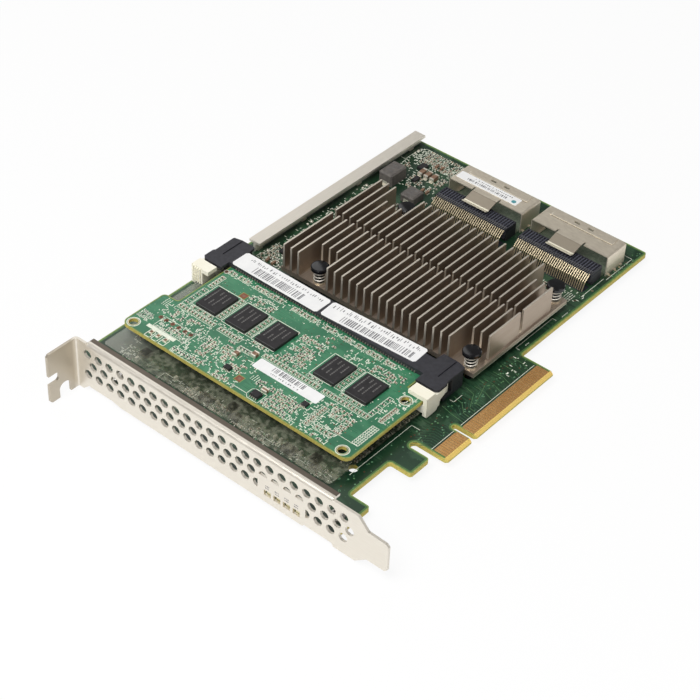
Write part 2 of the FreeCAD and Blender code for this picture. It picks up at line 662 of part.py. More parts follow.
# ---------------------------------------------------------------- push pins
def push_pins():
    """Cap, shank and split barbed tip."""
    pins = []
    under_cap = PIN_CAP_TOP_Z - PIN_CAP_T
    barb_z = -BOARD_T - SEAT_GAP
    profile = [(PIN_TIP_D, PIN_TIP_Z), (PIN_BARB_D, barb_z - 0.5), (PIN_BARB_D, barb_z),
               (PIN_SHANK_D, barb_z), (PIN_SHANK_D, under_cap), (PIN_CAP_D, under_cap),
               (PIN_CAP_D, PIN_CAP_TOP_Z - PIN_CAP_T / 3), (PIN_CAP_D * 0.8, PIN_CAP_TOP_Z)]
    for x, y in PIN_PLACES:
        split = box((x - PIN_SPLIT_W / 2, x + PIN_SPLIT_W / 2), (y - PIN_BARB_D, y + PIN_BARB_D),
                    (PIN_TIP_Z - 1, 0))
        pins.append(turned(profile, x, y).cut(split))
    return group(pins)


def pin_sleeves():
    """Metal sleeves on the heatsink base, round the shanks."""
    z = (SINK_BASE_TOP, SINK_BASE_TOP + SLEEVE_H)
    bore = PIN_SHANK_D + 2 * SLEEVE_PLAY
    return group([rod(x, y, z, SLEEVE_D).cut(rod(x, y, z, bore)) for x, y in PIN_PLACES])


def pin_springs():
    """Compression springs of square wire between the sleeves and the caps."""
    low = SINK_BASE_TOP + SLEEVE_H + SEAT_GAP
    rise = PIN_CAP_TOP_Z - PIN_CAP_T - SPRING_WIRE - SEAT_GAP - low
    count = SPRING_TURNS * SPRING_STATIONS
    radii = (SPRING_D / 2, SPRING_D / 2 - SPRING_WIRE)
    rings = []
    for k in range(count + 1):
        turn, z = 2 * math.pi * k / SPRING_STATIONS, low + rise * k / count
        rings.append([Vector(r * math.cos(turn), r * math.sin(turn), z + up) for r, up in
                      ((radii[0], 0), (radii[0], SPRING_WIRE), (radii[1], SPRING_WIRE), (radii[1], 0))])
    coil = skin(rings, False)
    return group([coil.translated(Vector(x, y, 0)) for x, y in PIN_PLACES])


# ---------------------------------------------------------------- module socket
def socket_tower():
    """Tower at the lower end: block with a pocket for the latch, under a top plate."""
    tower = box(TOWER_X, (TOWER_OUT_Y, TOWER_IN_Y), (0, TOWER_TOP_Z))
    plate_y = (TOWER_OUT_Y - PLATE_OVERHANG, TOWER_IN_Y + PLATE_INNER)
    plate = plan([(PLATE_X[0] + 1.0, plate_y[0]), (TOWER_X[0], plate_y[0]),
                  (TOWER_X[0] + 0.8, plate_y[0] + 0.5), (PLATE_X[1] - 0.7, plate_y[0] + 0.5, 0.5),
                  (PLATE_X[1], plate_y[0] + 3.5), (PLATE_X[1], plate_y[1] - 0.5, 0.5),
                  (BAR_X[1] - 0.9, plate_y[1]), (BAR_X[0], plate_y[1]), (BAR_X[0], TOWER_IN_Y),
                  (PLATE_X[0], TOWER_IN_Y), (PLATE_X[0], plate_y[0] + 1.0)],
                 (TOWER_TOP_Z, SOCKET_TOP_Z))
    groove = box((TOWER_X[0] + 0.6, PLATE_X[1] - 0.4),
                 (PIVOT_Y + 0.5, PIVOT_Y + 0.5 + PLATE_GROOVE[0]),
                 (SOCKET_TOP_Z - PLATE_GROOVE[1], SOCKET_TOP_Z + 1))
    return tower.fuse(plate).cut(group([latch_pocket(), groove, pivot_hole()]))


def latch_pocket():
    """Room for the latch arm, open towards the module and the card's lower edge."""
    radius = LATCH_ARM_T / 2 + LATCH_GAP
    z = (LATCH_ARM_Z[0] - LATCH_GAP, LATCH_ARM_Z[1] + LATCH_GAP)
    straight = box((TOWER_X[0] - 1, PIVOT_X), (TOWER_OUT_Y - 1, PIVOT_Y + radius), z)
    turning = rod(PIVOT_X, PIVOT_Y, z, 2 * radius, HOLE_SIDES)
    mouth = box((PIVOT_X - 1, PIVOT_X + radius), (TOWER_OUT_Y - 1, PIVOT_Y), z)
    return straight.fuse([turning, mouth])


def pivot_hole():
    return rod(PIVOT_X, PIVOT_Y, PIVOT_Z, PIVOT_D, HOLE_SIDES)


def socket_bar():
    """Long bar with the slot that takes the module's edge."""
    slot_floor = MODULE_X[1] + MODULE_GAP
    profile = [(BAR_X[0], BAR_LIFT), (BAR_X[1], BAR_LIFT), (BAR_X[1], SOCKET_TOP_Z, 0.3),
               (BAR_X[0], SOCKET_TOP_Z), (BAR_X[0], MODULE_TOP + MODULE_GAP),
               (slot_floor, MODULE_TOP + MODULE_GAP), (slot_floor, MODULE_Z - MODULE_GAP),
               (BAR_X[0], MODULE_Z - MODULE_GAP)]
    return front(profile, (TOWER_IN_Y, 2 * SOCKET_MID_Y - TOWER_IN_Y))


def module_socket():
    tower = socket_tower()
    return socket_bar().fuse([tower, mirrored(tower)]).removeSplitter()


def socket_contacts():
    """Contact ends on the module side of the bar, above the module."""
    half = int((SOCKET_MID_Y - TOWER_IN_Y - PLATE_INNER - CONTACT_PITCH) / CONTACT_PITCH)
    z = (MODULE_TOP + MODULE_GAP, MODULE_TOP + MODULE_GAP + CONTACT_H)
    contacts = []
    for i in range(-half, half + 1):
        y = SOCKET_MID_Y + i * CONTACT_PITCH
        contacts.append(box((BAR_X[0] - CONTACT_T, BAR_X[0]), (y - CONTACT_W / 2, y + CONTACT_W / 2), z))
    return group(contacts)


# ---------------------------------------------------------------- latches
def latch_plate():
    """Outer plate: finger edge with a scalloped slope down to its toe."""
    low = TOWER_TOP_Z - LATCH_GAP
    slope = [(5.8, low), (5.8, 5.9), (5.1, 4.4, 0.5), (3.4, 3.6, 0.5), (2.9, 2.6, 0.5),
             (2.2, 1.4, 0.5), (1.7, LATCH_LOW_Z + 0.3, 0.4), (0, LATCH_LOW_Z)]
    points = [(LATCH_X, LATCH_LOW_Z, 0.5)] + slope[::-1]
    points += [(LATCH_JAW_END_X, low), (LATCH_JAW_END_X, LATCH_TOP_Z), (LATCH_X, LATCH_TOP_Z, 0.4)]
    return front(points, (LATCH_Y, LATCH_Y + LATCH_PLATE_T))


def latch_body(slotted):
    """One latch: plate, jaws round the module's corner and an arm on the pivot."""
    arm_y = (PIVOT_Y - LATCH_ARM_T / 2, PIVOT_Y + LATCH_ARM_T / 2)
    jaw_x = (LATCH_X, LATCH_JAW_END_X)
    upper = box(jaw_x, (LATCH_Y, LATCH_Y + LATCH_JAW_DEPTH), (MODULE_TOP + LATCH_GAP, LATCH_TOP_Z))
    lower = box(jaw_x, (LATCH_Y, LATCH_Y + LATCH_LOWER_JAW_DEPTH), (1.7, MODULE_Z - LATCH_GAP))
    link = box((MODULE_NECK_X + LATCH_GAP, PIVOT_X - 2), arm_y, LATCH_ARM_Z)
    bridge = box((MODULE_NECK_X + LATCH_GAP, 3.0), (LATCH_Y, PIVOT_Y), LATCH_ARM_Z)
    arm = box((PIVOT_X - 2.5, PIVOT_X), arm_y, LATCH_ARM_Z)
    eye = rod(PIVOT_X, PIVOT_Y, LATCH_ARM_Z, LATCH_ARM_T, HOLE_SIDES)
    pieces = [upper, lower, link, bridge, arm, eye]
    if not slotted:
        pieces.append(box(jaw_x, (LATCH_Y, LATCH_Y + LATCH_LOWER_JAW_DEPTH), (1.7, LATCH_TOP_Z)))
    bore = rod(PIVOT_X, PIVOT_Y, (0, SOCKET_TOP_Z), PIVOT_D + 2 * PIVOT_CLEARANCE, HOLE_SIDES)
    return latch_plate().fuse(pieces).cut(bore)


def latch_right():
    return latch_body(True).removeSplitter()


def latch_left():
    """Mirror of the right one; no board in its jaws, and grip ribs on its face."""
    latch = latch_body(False)
    ribs = []
    pitch = LATCH_LOWER_JAW_DEPTH / (LATCH_RIBS + 1)
    for i in range(LATCH_RIBS):
        y = LATCH_Y + (i + 1) * pitch
        ribs.append(box((LATCH_X - LATCH_RIB_W, LATCH_X), (y - LATCH_RIB_W / 2, y + LATCH_RIB_W / 2),
                        (1.7, LATCH_TOP_Z - 0.3)))
    return mirrored(latch.fuse(ribs).removeSplitter())


def latch_pins():
    pin = rod(PIVOT_X, PIVOT_Y, PIVOT_Z, PIVOT_D, HOLE_SIDES)
    return group([pin, mirrored(pin)])


# ---------------------------------------------------------------- cache module
def cache_board():
    """Module board: its neck enters the socket between the towers, three corners are drilled."""
    x0, x1 = MODULE_X
    y0, y1 = MODULE_Y
    points = [(x0, y0, MODULE_CORNER_R), (MODULE_NECK_X, y0, CORNER_R), (MODULE_NECK_X, NECK_Y[0]),
              (x1, NECK_Y[0]), (x1, NECK_Y[1]), (MODULE_STEP_X, NECK_Y[1], CORNER_R),
              (MODULE_STEP_X, y1, 1.5), (x0, y1, MODULE_CORNER_R)]
    holes = [(x0 + MODULE_HOLE_INSET[0], y1 - MODULE_HOLE_INSET[1])]
    holes += [(x0 + x, y0 + MODULE_LOW_HOLE_Y) for x in MODULE_LOW_HOLE_X]
    drills = [rod(x, y, (MODULE_Z - 1, MODULE_TOP + 1), MODULE_HOLE_D, HOLE_SIDES) for x, y in holes]
    return plan(points, (MODULE_Z, MODULE_TOP)).cut(group(drills))


def memory_chip(offset, underside):
    """Memory package, long side along X, at an offset from the socket's mid plane."""
    length, width, height = MEMORY_SIZE
    y = SOCKET_MID_Y + offset
    if underside:
        z = (MODULE_Z - height, MODULE_Z)
    else:
        z = (MODULE_TOP, MODULE_TOP + height)
    return box((MEMORY_X - length / 2, MEMORY_X + length / 2), (y - width / 2, y + width / 2), z)


def insulating_film():
    return plan(clipped(FILM_X, FILM_Y, FILM_CORNER), (FILM_Z, FILM_Z + FILM_T))


# ---------------------------------------------------------------- cable sockets
def sas_cage(y0):
    """Folded cage: roof and walls, embossed lip, slots and a spring tab at the back."""
    middle = y0 + SAS_W / 2
    roof = SAS_H - CAGE_EMBOSS
    shell = side([(y0, 0), (y0 + CAGE_T, 0), (y0 + CAGE_T, roof - CAGE_T),
                  (y0 + SAS_W - CAGE_T, roof - CAGE_T), (y0 + SAS_W - CAGE_T, 0), (y0 + SAS_W, 0),
                  (y0 + SAS_W, roof, 0.8), (y0, roof, 0.8)], SAS_X)
    lip = box((CAGE_EMBOSS_X, SAS_X[1] - 0.6),
              (middle - CAGE_EMBOSS_W / 2, middle + CAGE_EMBOSS_W / 2), (roof, SAS_H))
    above = (roof - CAGE_T - 0.5, SAS_H + 1)
    cuts = []
    for way in (-1, 1):
        slit = middle + way * (TAB_W + TAB_SLIT_W) / 2
        cuts.append(box((SAS_X[0] - 1, TAB_ROOT_X), (slit - TAB_SLIT_W / 2, slit + TAB_SLIT_W / 2), above))
        slot = middle + way * CAGE_SLOT_Y
        cuts.append(box((CAGE_SLOT_X - CAGE_SLOT[0] / 2, CAGE_SLOT_X + CAGE_SLOT[0] / 2),
                        (slot - CAGE_SLOT[1] / 2, slot + CAGE_SLOT[1] / 2), above))
    tab_z = roof - CAGE_T
    path = [(TAB_END_X, tab_z - TAB_DROP + TAB_LIP), (TAB_END_X + 1.3, tab_z - TAB_DROP),
            (SAS_X[0] - 0.6, tab_z), (SAS_X[0] + 0.2, tab_z)]
    tab = front(ribbon(path, CAGE_T), (middle - TAB_W / 2, middle + TAB_W / 2))
    wall = y0 + SAS_W - CAGE_T
    feet = [box((CAGE_FOOT_X, CAGE_FOOT_X + CAGE_FOOT[0]), (wall - CAGE_FOOT[1], wall), (0, CAGE_FOOT[2]))]
    feet += [box((x, x + CAGE_PIN[0]), (y0 - CAGE_PIN[1], y0), (0, CAGE_PIN[2])) for x in CAGE_PIN_X]
    return shell.fuse(lip).cut(group(cuts)).fuse([tab] + feet).removeSplitter()


def sas_housing(y0):
    """Moulded body behind the cage, with the slot for the plug's tongue in its front."""
    back, face = HOUSING_X
    step, step_z = HOUSING_STEP
    profile = [(back + step, 0), (face, 0), (face, HOUSING_H), (back, HOUSING_H), (back, step_z),
               (back + step, step_z)]
    body = front(profile, (y0 + HOUSING_SIDE_GAP, y0 + SAS_W - HOUSING_SIDE_GAP))
    middle = y0 + SAS_W / 2
    slot = box((face - PLUG_SLOT_DEPTH, face + 1),
               (middle - PLUG_SLOT[0] / 2, middle + PLUG_SLOT[0] / 2),
               (PLUG_SLOT_Z, PLUG_SLOT_Z + PLUG_SLOT[1]))
    return body.cut(slot)


def sas_leads(y0):
    """Contact wires: out of the housing's back, down a slope and to their feet on the board."""
    back = HOUSING_X[0]
    bend = (back - LEAD_RUN, LEAD_TOP_Z - LEAD_DROP)
    profile = [(back, LEAD_TOP_Z - LEAD_T), (back, LEAD_TOP_Z), bend, (back - LEAD_REACH, 0),
               (back - LEAD_REACH + LEAD_T, 0), (bend[0] + LEAD_T, bend[1] - LEAD_T / 2)]
    first = y0 + SAS_W / 2 - (LEAD_COUNT - 1) / 2 * LEAD_PITCH
    leads = []
    for i in range(LEAD_COUNT):
        y = first + i * LEAD_PITCH
        leads.append(front(profile, (y - LEAD_W / 2, y + LEAD_W / 2)))
    return group(leads)


# ---------------------------------------------------------------- power and small parts
def inductor(place):
    """Moulded power inductor with chamfered edges and a foot at each end."""
    x, y, height = place
    block = box(x, (RAIL_Y + y[0], RAIL_Y + y[1]), (0, height))
    top = [edge for edge in block.Edges if edge.BoundBox.ZMin > height - 0.01]
    upright = [edge for edge in block.Edges if edge.BoundBox.ZLength > height - 0.01]
    return block.makeChamfer(0.5, top + upright)


def ceramic_capacitors():
    return group([box(CAP_X, (RAIL_Y + y - CAP_W / 2, RAIL_Y + y + CAP_W / 2), (0, CAP_H)) for y in CAP_Y])


def seated(rows, z, y0):
    """Small blocks (x, y, length, width, height) standing on a board face, y from y0."""
    return group([box((x - length / 2, x + length / 2), (y0 + y - width / 2, y0 + y + width / 2),
                      (z, z + height)) for x, y, length, width, height in rows])


BOARD_CHIPS = [(96.6, -10.4, 3.2, 2.6, 1.0), (89.2, -13.25, 2.9, 1.6, 1.1), (28.5, -7.25, 2.8, 2.2, 0.9)]
BOARD_PASSIVES = [(21.5, -8.75, 1.6, 0.8, 0.8), (21.5, -6.25, 1.6, 0.8, 0.8), (32.5, -7.75, 0.8, 1.6, 0.8),
                  (35.0, -7.75, 0.8, 1.6, 0.8), (86.0, -20.75, 1.6, 0.8, 0.8), (86.0, -18.75, 1.6, 0.8, 0.8),
                  (100.5, -15.75, 1.6, 0.8, 0.8), (100.5, -13.75, 1.6, 0.8, 0.8), (72.5, -10.75, 0.8, 1.6, 0.8),
                  (74.5, -10.75, 0.8, 1.6, 0.8)]
FILM_SUPPORTS = [(-38.0, -34.95, 3.0, 3.0, FILM_Z), (-38.0, -2.95, 3.0, 3.0, FILM_Z),
                 (-38.0, 33.05, 3.0, 3.0, FILM_Z), (-10.0, -17.95, 6.0, 6.0, FILM_Z),
                 (-10.0, 22.05, 6.0, 6.0, FILM_Z)]
MODULE_CHIPS = [(-34.2, -8.4, 2.6, 3.2, 1.1), (-27.6, -21.5, 2.1, 2.1, 0.7), (-34.4, 34.05, 1.8, 1.1, 0.6),
                (-34.4, 31.25, 1.8, 1.1, 0.6), (-34.4, 28.25, 1.8, 1.1, 0.6), (-31.0, 5.85, 1.8, 2.4, 1.0)]
MODULE_CAPS = [(-24.7, 8.25, 2.2, 1.5, 1.1), (-21.3, 3.85, 2.2, 1.8, 1.1), (-31.1, -9.15, 1.6, 2.0, 1.0)]


def label(place, z, turn_about=(0.0, 0.0), corner=LABEL_CORNER):
    """Paper label (x, y, width, length, turn) laid on a face, from a given middle."""
    x, y, width, length, turn = place
    x, y = x + turn_about[0], y + turn_about[1]
    sheet = plan(clipped((x - width / 2, x + width / 2), (y - length / 2, y + length / 2), corner),
                 (z, z + LABEL_T))
    return sheet.rotated(Vector(x, y, z), Vector(0, 0, 1), turn)


def cage_label():
    x = (SAS_X[0] + CAGE_LABEL_MARGIN[0], CAGE_EMBOSS_X - CAGE_LABEL_GAP)
    y = (SAS_Y[1] + 2 * CAGE_LABEL_MARGIN[0], SAS_Y[1] + SAS_W - CAGE_LABEL_MARGIN[1])
    return plan(clipped(x, y, SMALL_LABEL_CORNER),
                (SAS_H - CAGE_EMBOSS, SAS_H - CAGE_EMBOSS + LABEL_T))


# ---------------------------------------------------------------- assembly
def pieces():
    """Every piece of the card, by node name."""
    parts = {
        "main_board": main_board(),
        "edge_contacts": edge_contacts(),
        "slot_bracket": slot_bracket(),
        "bracket_screws": bracket_screws(),
        "status_leds": status_leds(),
        "stiffener_rail": stiffener_rail(),
        "controller_chip": controller_chip(),
        "thermal_pad": thermal_pad(),
        "heatsink": heatsink(),
        "push_pins": push_pins(),
        "pin_sleeves": pin_sleeves(),
        "pin_springs": pin_springs(),
        "module_socket": module_socket(),
        "socket_contacts": socket_contacts(),
        "latch_right": latch_right(),
        "latch_left": latch_left(),
        "latch_pins": latch_pins(),
        "cache_board": cache_board(),
        "insulating_film": insulating_film(),
        "inductor_large": inductor(INDUCTOR_LARGE),
        "inductor_small": inductor(INDUCTOR_SMALL),
        "ceramic_capacitors": ceramic_capacitors(),
        "board_chips": seated(BOARD_CHIPS, 0, RAIL_Y),
        "board_passives": seated(BOARD_PASSIVES, 0, RAIL_Y),
        "film_support_chips": seated(FILM_SUPPORTS, 0, SOCKET_MID_Y),
        "module_chips": seated(MODULE_CHIPS, MODULE_TOP, SOCKET_MID_Y),
        "module_capacitors": seated(MODULE_CAPS, MODULE_TOP, SOCKET_MID_Y),
        "socket_label_upper": label(SOCKET_LABEL_UPPER, SOCKET_TOP_Z, BAR_MIDDLE),
        "socket_label_lower": label(SOCKET_LABEL_LOWER, SOCKET_TOP_Z, BAR_MIDDLE),
        "module_label": label(MODULE_LABEL, MODULE_TOP, (0.0, SOCKET_MID_Y), SMALL_LABEL_CORNER),
        "cage_label": cage_label(),
    }
    for i, y in enumerate(MEMORY_Y, 1):
        parts["memory_chip_top_%d" % i] = memory_chip(y, False)
    for i, y in enumerate(MEMORY_UNDER_Y, 1):
        parts["memory_chip_under_%d" % i] = memory_chip(y, True)
    for name, y0 in zip(("lower", "upper"), SAS_Y):
        parts["sas_cage_" + name] = sas_cage(y0)
        parts["sas_housing_" + name] = sas_housing(y0)
        parts["sas_leads_" + name] = sas_leads(y0)
    return parts


def save_all():
    os.makedirs("parts", exist_ok=True)
    for name, shape in pieces().items():
        placed = shape.copy()
        placed.translate(-BASE)
        placed.exportStep("parts/%s.step" % name)


save_all()
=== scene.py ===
"""Looks of the raid controller card: finishes for every piece of the frame, the small parts,
copper, print and solder of its boards, the camera and a plain studio."""
import math
import random

import bmesh
import bpy
from mathutils import Matrix, Vector
from mathutils.bvhtree import BVHTree


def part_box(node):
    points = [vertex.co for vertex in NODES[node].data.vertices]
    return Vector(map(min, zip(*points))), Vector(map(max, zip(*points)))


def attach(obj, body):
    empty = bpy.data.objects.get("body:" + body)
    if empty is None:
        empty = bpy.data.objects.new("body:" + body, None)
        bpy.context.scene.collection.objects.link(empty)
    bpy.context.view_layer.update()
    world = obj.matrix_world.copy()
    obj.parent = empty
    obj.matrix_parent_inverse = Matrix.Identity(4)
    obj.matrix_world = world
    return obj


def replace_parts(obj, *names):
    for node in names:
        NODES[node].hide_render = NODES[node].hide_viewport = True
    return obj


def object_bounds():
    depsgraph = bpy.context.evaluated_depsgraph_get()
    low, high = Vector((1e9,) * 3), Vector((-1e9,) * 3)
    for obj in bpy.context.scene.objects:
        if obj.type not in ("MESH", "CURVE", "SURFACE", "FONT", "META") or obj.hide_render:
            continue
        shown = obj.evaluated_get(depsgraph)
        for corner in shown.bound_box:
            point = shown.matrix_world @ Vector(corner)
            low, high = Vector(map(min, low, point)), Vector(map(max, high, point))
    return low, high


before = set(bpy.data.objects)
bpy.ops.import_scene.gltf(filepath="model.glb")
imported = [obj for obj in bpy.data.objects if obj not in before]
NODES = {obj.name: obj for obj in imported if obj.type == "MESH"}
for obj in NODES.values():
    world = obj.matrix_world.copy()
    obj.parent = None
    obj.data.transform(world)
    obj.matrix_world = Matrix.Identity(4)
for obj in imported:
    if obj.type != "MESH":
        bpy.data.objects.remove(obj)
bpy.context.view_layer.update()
MM = 0.001

# ---- the card's own datum
# X = 0 on the key notch, Y = 0 at the finger tips, Z = 0 on the component face, in mm.
FINGERS_TO_KEY = 11.85
board_low, board_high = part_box("main_board")
finger_low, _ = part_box("edge_contacts")
DATUM = Vector((finger_low[0] + FINGERS_TO_KEY * MM, board_low[1], board_high[2]))


def place(x, y, z):
    """Card millimetres to metres in the frame."""
    return DATUM + Vector((x, y, z)) * MM


def extent(node):
    """A node's box in card millimetres: ((x0, x1), (y0, y1), (z0, z1))."""
    low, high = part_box(node)
    return tuple(((low[i] - DATUM[i]) / MM, (high[i] - DATUM[i]) / MM) for i in range(3))


# ---- material helpers
def add_node(tree, kind, inputs, **settings):
    """New node; each input is a plain value, or an output to link."""
    node = tree.nodes.new(kind)
    for key, value in settings.items():
        setattr(node, key, value)
    for key, value in inputs.items():
        if isinstance(value, bpy.types.NodeSocket):
            tree.links.new(value, node.inputs[key])
        else:
            node.inputs[key].default_value = value
    return node


class Shader:
    """A Principled material with a few wiring shortcuts; lengths in millimetres."""

    def __init__(self, name, roughness=0.5, metallic=0.0):
        self.material = bpy.data.materials.new(name)
        self.material.use_nodes = True
        self.tree = self.material.node_tree
        self.surface = self.tree.nodes["Principled BSDF"]
        self.surface.inputs["Roughness"].default_value = roughness
        self.surface.inputs["Metallic"].default_value = metallic
        at = self.node("ShaderNodeTexCoord").outputs["Object"]
        self.where = self.node("ShaderNodeMapping", Vector=at, Scale=[1 / MM] * 3).outputs["Vector"]

    def node(self, kind, **inputs):
        return add_node(self.tree, kind, inputs)

    def link(self, output, name):
        self.tree.links.new(output, self.surface.inputs[name])
        return self

    def stretched(self, scale, turn=0.0):
        turned = (0, 0, math.radians(turn))
        node = self.node("ShaderNodeMapping", Vector=self.where, Scale=scale, Rotation=turned)
        return node.outputs["Vector"]

    def noise(self, scale, detail=2.0, where=None):
        node = self.node("ShaderNodeTexNoise", Vector=where or self.where, Scale=scale, Detail=detail)
        return node.outputs["Fac"]

    def cells(self, scale):
        return self.node("ShaderNodeTexVoronoi", Vector=self.where, Scale=scale).outputs["Distance"]

    def cell_edges(self, scale, where=None):
        inputs = {"Vector": where or self.where, "Scale": scale}
        node = add_node(self.tree, "ShaderNodeTexVoronoi", inputs, feature="DISTANCE_TO_EDGE")
        return node.outputs["Distance"]

    def span(self, value, low, high, to_low=0.0, to_high=1.0):
        inputs = {"Value": value, "From Min": low, "From Max": high, "To Min": to_low, "To Max": to_high}
        return add_node(self.tree, "ShaderNodeMapRange", inputs).outputs["Result"]

    def maths(self, operation, *values):
        inputs = dict(enumerate(values))
        return add_node(self.tree, "ShaderNodeMath", inputs, operation=operation).outputs["Value"]

    def both(self, a, b):
        return self.maths("MULTIPLY", a, b)

    def mix(self, factor, a, b):
        """Mix of two colours, each a tuple or an output."""
        a, b = (value + (1.0,) if isinstance(value, tuple) else value for value in (a, b))
        inputs = {"Factor": factor, "A": a, "B": b}
        return add_node(self.tree, "ShaderNodeMix", inputs, data_type="RGBA").outputs["Result"]

    def part(self, vector, axis):
        return self.node("ShaderNodeSeparateXYZ", Vector=vector).outputs[axis]

    def normal(self, axis):
        """Size of the surface normal's part along an axis."""
        geometry = self.node("ShaderNodeNewGeometry")
        return self.maths("ABSOLUTE", self.part(geometry.outputs["Normal"], axis))

    def card(self, axis):
        """A card coordinate in mm."""
        return self.maths("SUBTRACT", self.part(self.where, axis), DATUM["XYZ".index(axis)] / MM)

    def past(self, axis, at, soft=0.1):
        """0 below a card coordinate and 1 beyond it."""
        return self.span(self.card(axis), at, at + soft)

    def before(self, axis, at, soft=0.1):
        """1 below a card coordinate and 0 beyond it."""
        return self.span(self.card(axis), at, at + soft, 1.0, 0.0)

    def within(self, axis, ends, soft=0.1):
        """1 between two card coordinates."""
        return self.both(self.past(axis, ends[0], soft), self.before(axis, ends[1], soft))

    def colour(self, value):
        self.tone = value
        return self.link(value, "Base Color")

    def paint(self, factor, value):
        """Another colour over the one so far, where the factor is 1."""
        return self.colour(self.mix(factor, self.tone, value))

    def roughness(self, value):
        return self.link(value, "Roughness")

    def bump(self, height, depth):
        """Relief of a 0..1 height, its depth in millimetres."""
        node = self.node("ShaderNodeBump", Height=height, Distance=depth * MM, Strength=1.0)
        return self.link(node.outputs["Normal"], "Normal")


def plain(name, light, dark, roughness=0.5, metallic=0.0, scale=0.8, grain=12.0, relief=0.01):
    """Moulded, painted or plated stuff: cloudy colour, uneven gloss and a fine grain."""
    shader = Shader(name, roughness, metallic)
    cloud = shader.noise(scale, 3.0)
    shader.colour(shader.mix(shader.span(cloud, 0.35, 0.65), dark, light))
    fine = shader.noise(grain, 2.0)
    shader.roughness(shader.span(fine, 0.3, 0.7, roughness * 0.8, min(1.0, roughness * 1.2)))
    return shader.bump(fine, relief)


# places, in card millimetres, where a finish or the painted light and shade changes
TIP_Y = 1.35                   # end of the tongue's bare tip
PADS_END_Y = 5.7               # end of its contact pads
TONGUE_X = (-12.6, 39.6)
SINK_BASE_TOP = 4.4            # the fins start just below
FLANGE_REFLECTION_X = (-56.6, -54.4)      # strip of the bracket's return flange whose flat top is painted dark as a painted reflection
FLANGE_Z = 9.0                 # the flange lies above
TAB_BEND_X = -58.6             # bend between the bracket's plate and its screw tab
TAB_Y = 60.0                   # the tab lies beyond
CAGE_TAB_X = (84.7, 89.2)      # slope of the cages' spring tabs, given painted shade
LIP_HIGHLIGHT_X = 85.1                   # flat end of the tabs; below this X it gets a painted highlight
FILM_END_Y = 92.0              # beyond this the film is painted paler, a painted reflection of the white surroundings


def solder_mask(name, light, dark, copper, via, spread, fingers=False):
    """Green board: routed copper showing through the mask, vias, and bare laminate edges."""
    shader = Shader(name, 0.32)
    cloud = shader.noise(0.06, 2.0)
    shader.colour(shader.mix(shader.span(cloud, 0.35, 0.65), dark, light))
    fields = shader.cell_edges(spread)
    shader.paint(shader.span(fields, 0.02, 0.04, 0.5, 0.0), dark)
    runs = []
    for turn, pitch in ((0.0, 0.55), (45.0, 0.7), (90.0, 0.6)):
        edge = shader.cell_edges(pitch, shader.stretched((1.0, 0.12, 1.0), turn))
        runs.append(shader.span(edge, 0.05, 0.09, 1.0, 0.0))
    tracks = shader.maths("MAXIMUM", shader.maths("MAXIMUM", runs[0], runs[1]), runs[2])
    tracks = shader.both(tracks, shader.span(shader.noise(0.11, 1.0), 0.48, 0.54))
    shader.paint(shader.both(tracks, 0.55), copper)
    shader.paint(shader.span(shader.cells(0.75), 0.09, 0.14, 0.8, 0.0), via)
    if fingers:
        bare = shader.before("Y", TIP_Y - 0.1)
        shader.paint(shader.both(bare, shader.within("X", TONGUE_X)), (0.80, 0.57, 0.16))
        gaps = shader.maths("SUBTRACT", shader.before("Y", PADS_END_Y), bare)
        shader.paint(shader.both(gaps, shader.within("X", TONGUE_X)), (0.40, 0.21, 0.08))
    flat = shader.span(shader.normal("Z"), 0.5, 0.9)
    grain = shader.span(shader.noise(1.6, 4.0), 0.3, 0.7)
    laminate = shader.mix(grain, (0.50, 0.42, 0.09), (0.66, 0.56, 0.15))
    shader.colour(shader.mix(flat, laminate, shader.tone))
    shader.roughness(shader.span(flat, 0.0, 1.0, 0.8, 0.3))
    return shader.bump(tracks, 0.02)


def sheet_metal(name, light, dark, roughness, stretch, metallic=1.0):
    """Rolled or plated sheet with a directional grain and faint handling marks."""
    shader = Shader(name, roughness, metallic)
    grain = shader.noise(2.0, 4.0, shader.stretched(stretch))
    cloud = shader.noise(0.15, 3.0)
    shader.colour(shader.mix(shader.span(grain, 0.3, 0.7), dark, light))
    shader.paint(shader.span(cloud, 0.35, 0.7, 0.0, 0.35), dark)
    shader.roughness(shader.span(grain, 0.3, 0.7, roughness * 0.85, roughness * 1.2))
    return shader.bump(grain, 0.004)


def film_stuff():
    """Smoky film, cloudy over the crowded part of the board, and painted paler at its upper end as a painted
    reflection of the white surroundings.
    """
    shader = Shader("film_clear", 0.2)
    drift = shader.span(shader.noise(0.12), 0.3, 0.7, -0.08, 0.08)
    cloud = shader.maths("ADD", shader.noise(0.7, 5.0), drift)
    shader.colour(shader.mix(shader.span(cloud, 0.42, 0.60), (0.12, 0.125, 0.085), (0.44, 0.44, 0.33)))
    # painted reflection: paler towards the film's upper end
    shader.paint(shader.past("Y", FILM_END_Y, 11.0), (0.50, 0.51, 0.45))
    shader.surface.inputs["Alpha"].default_value = 0.24
    return shader.bump(shader.noise(0.3, 2.0), 0.05)


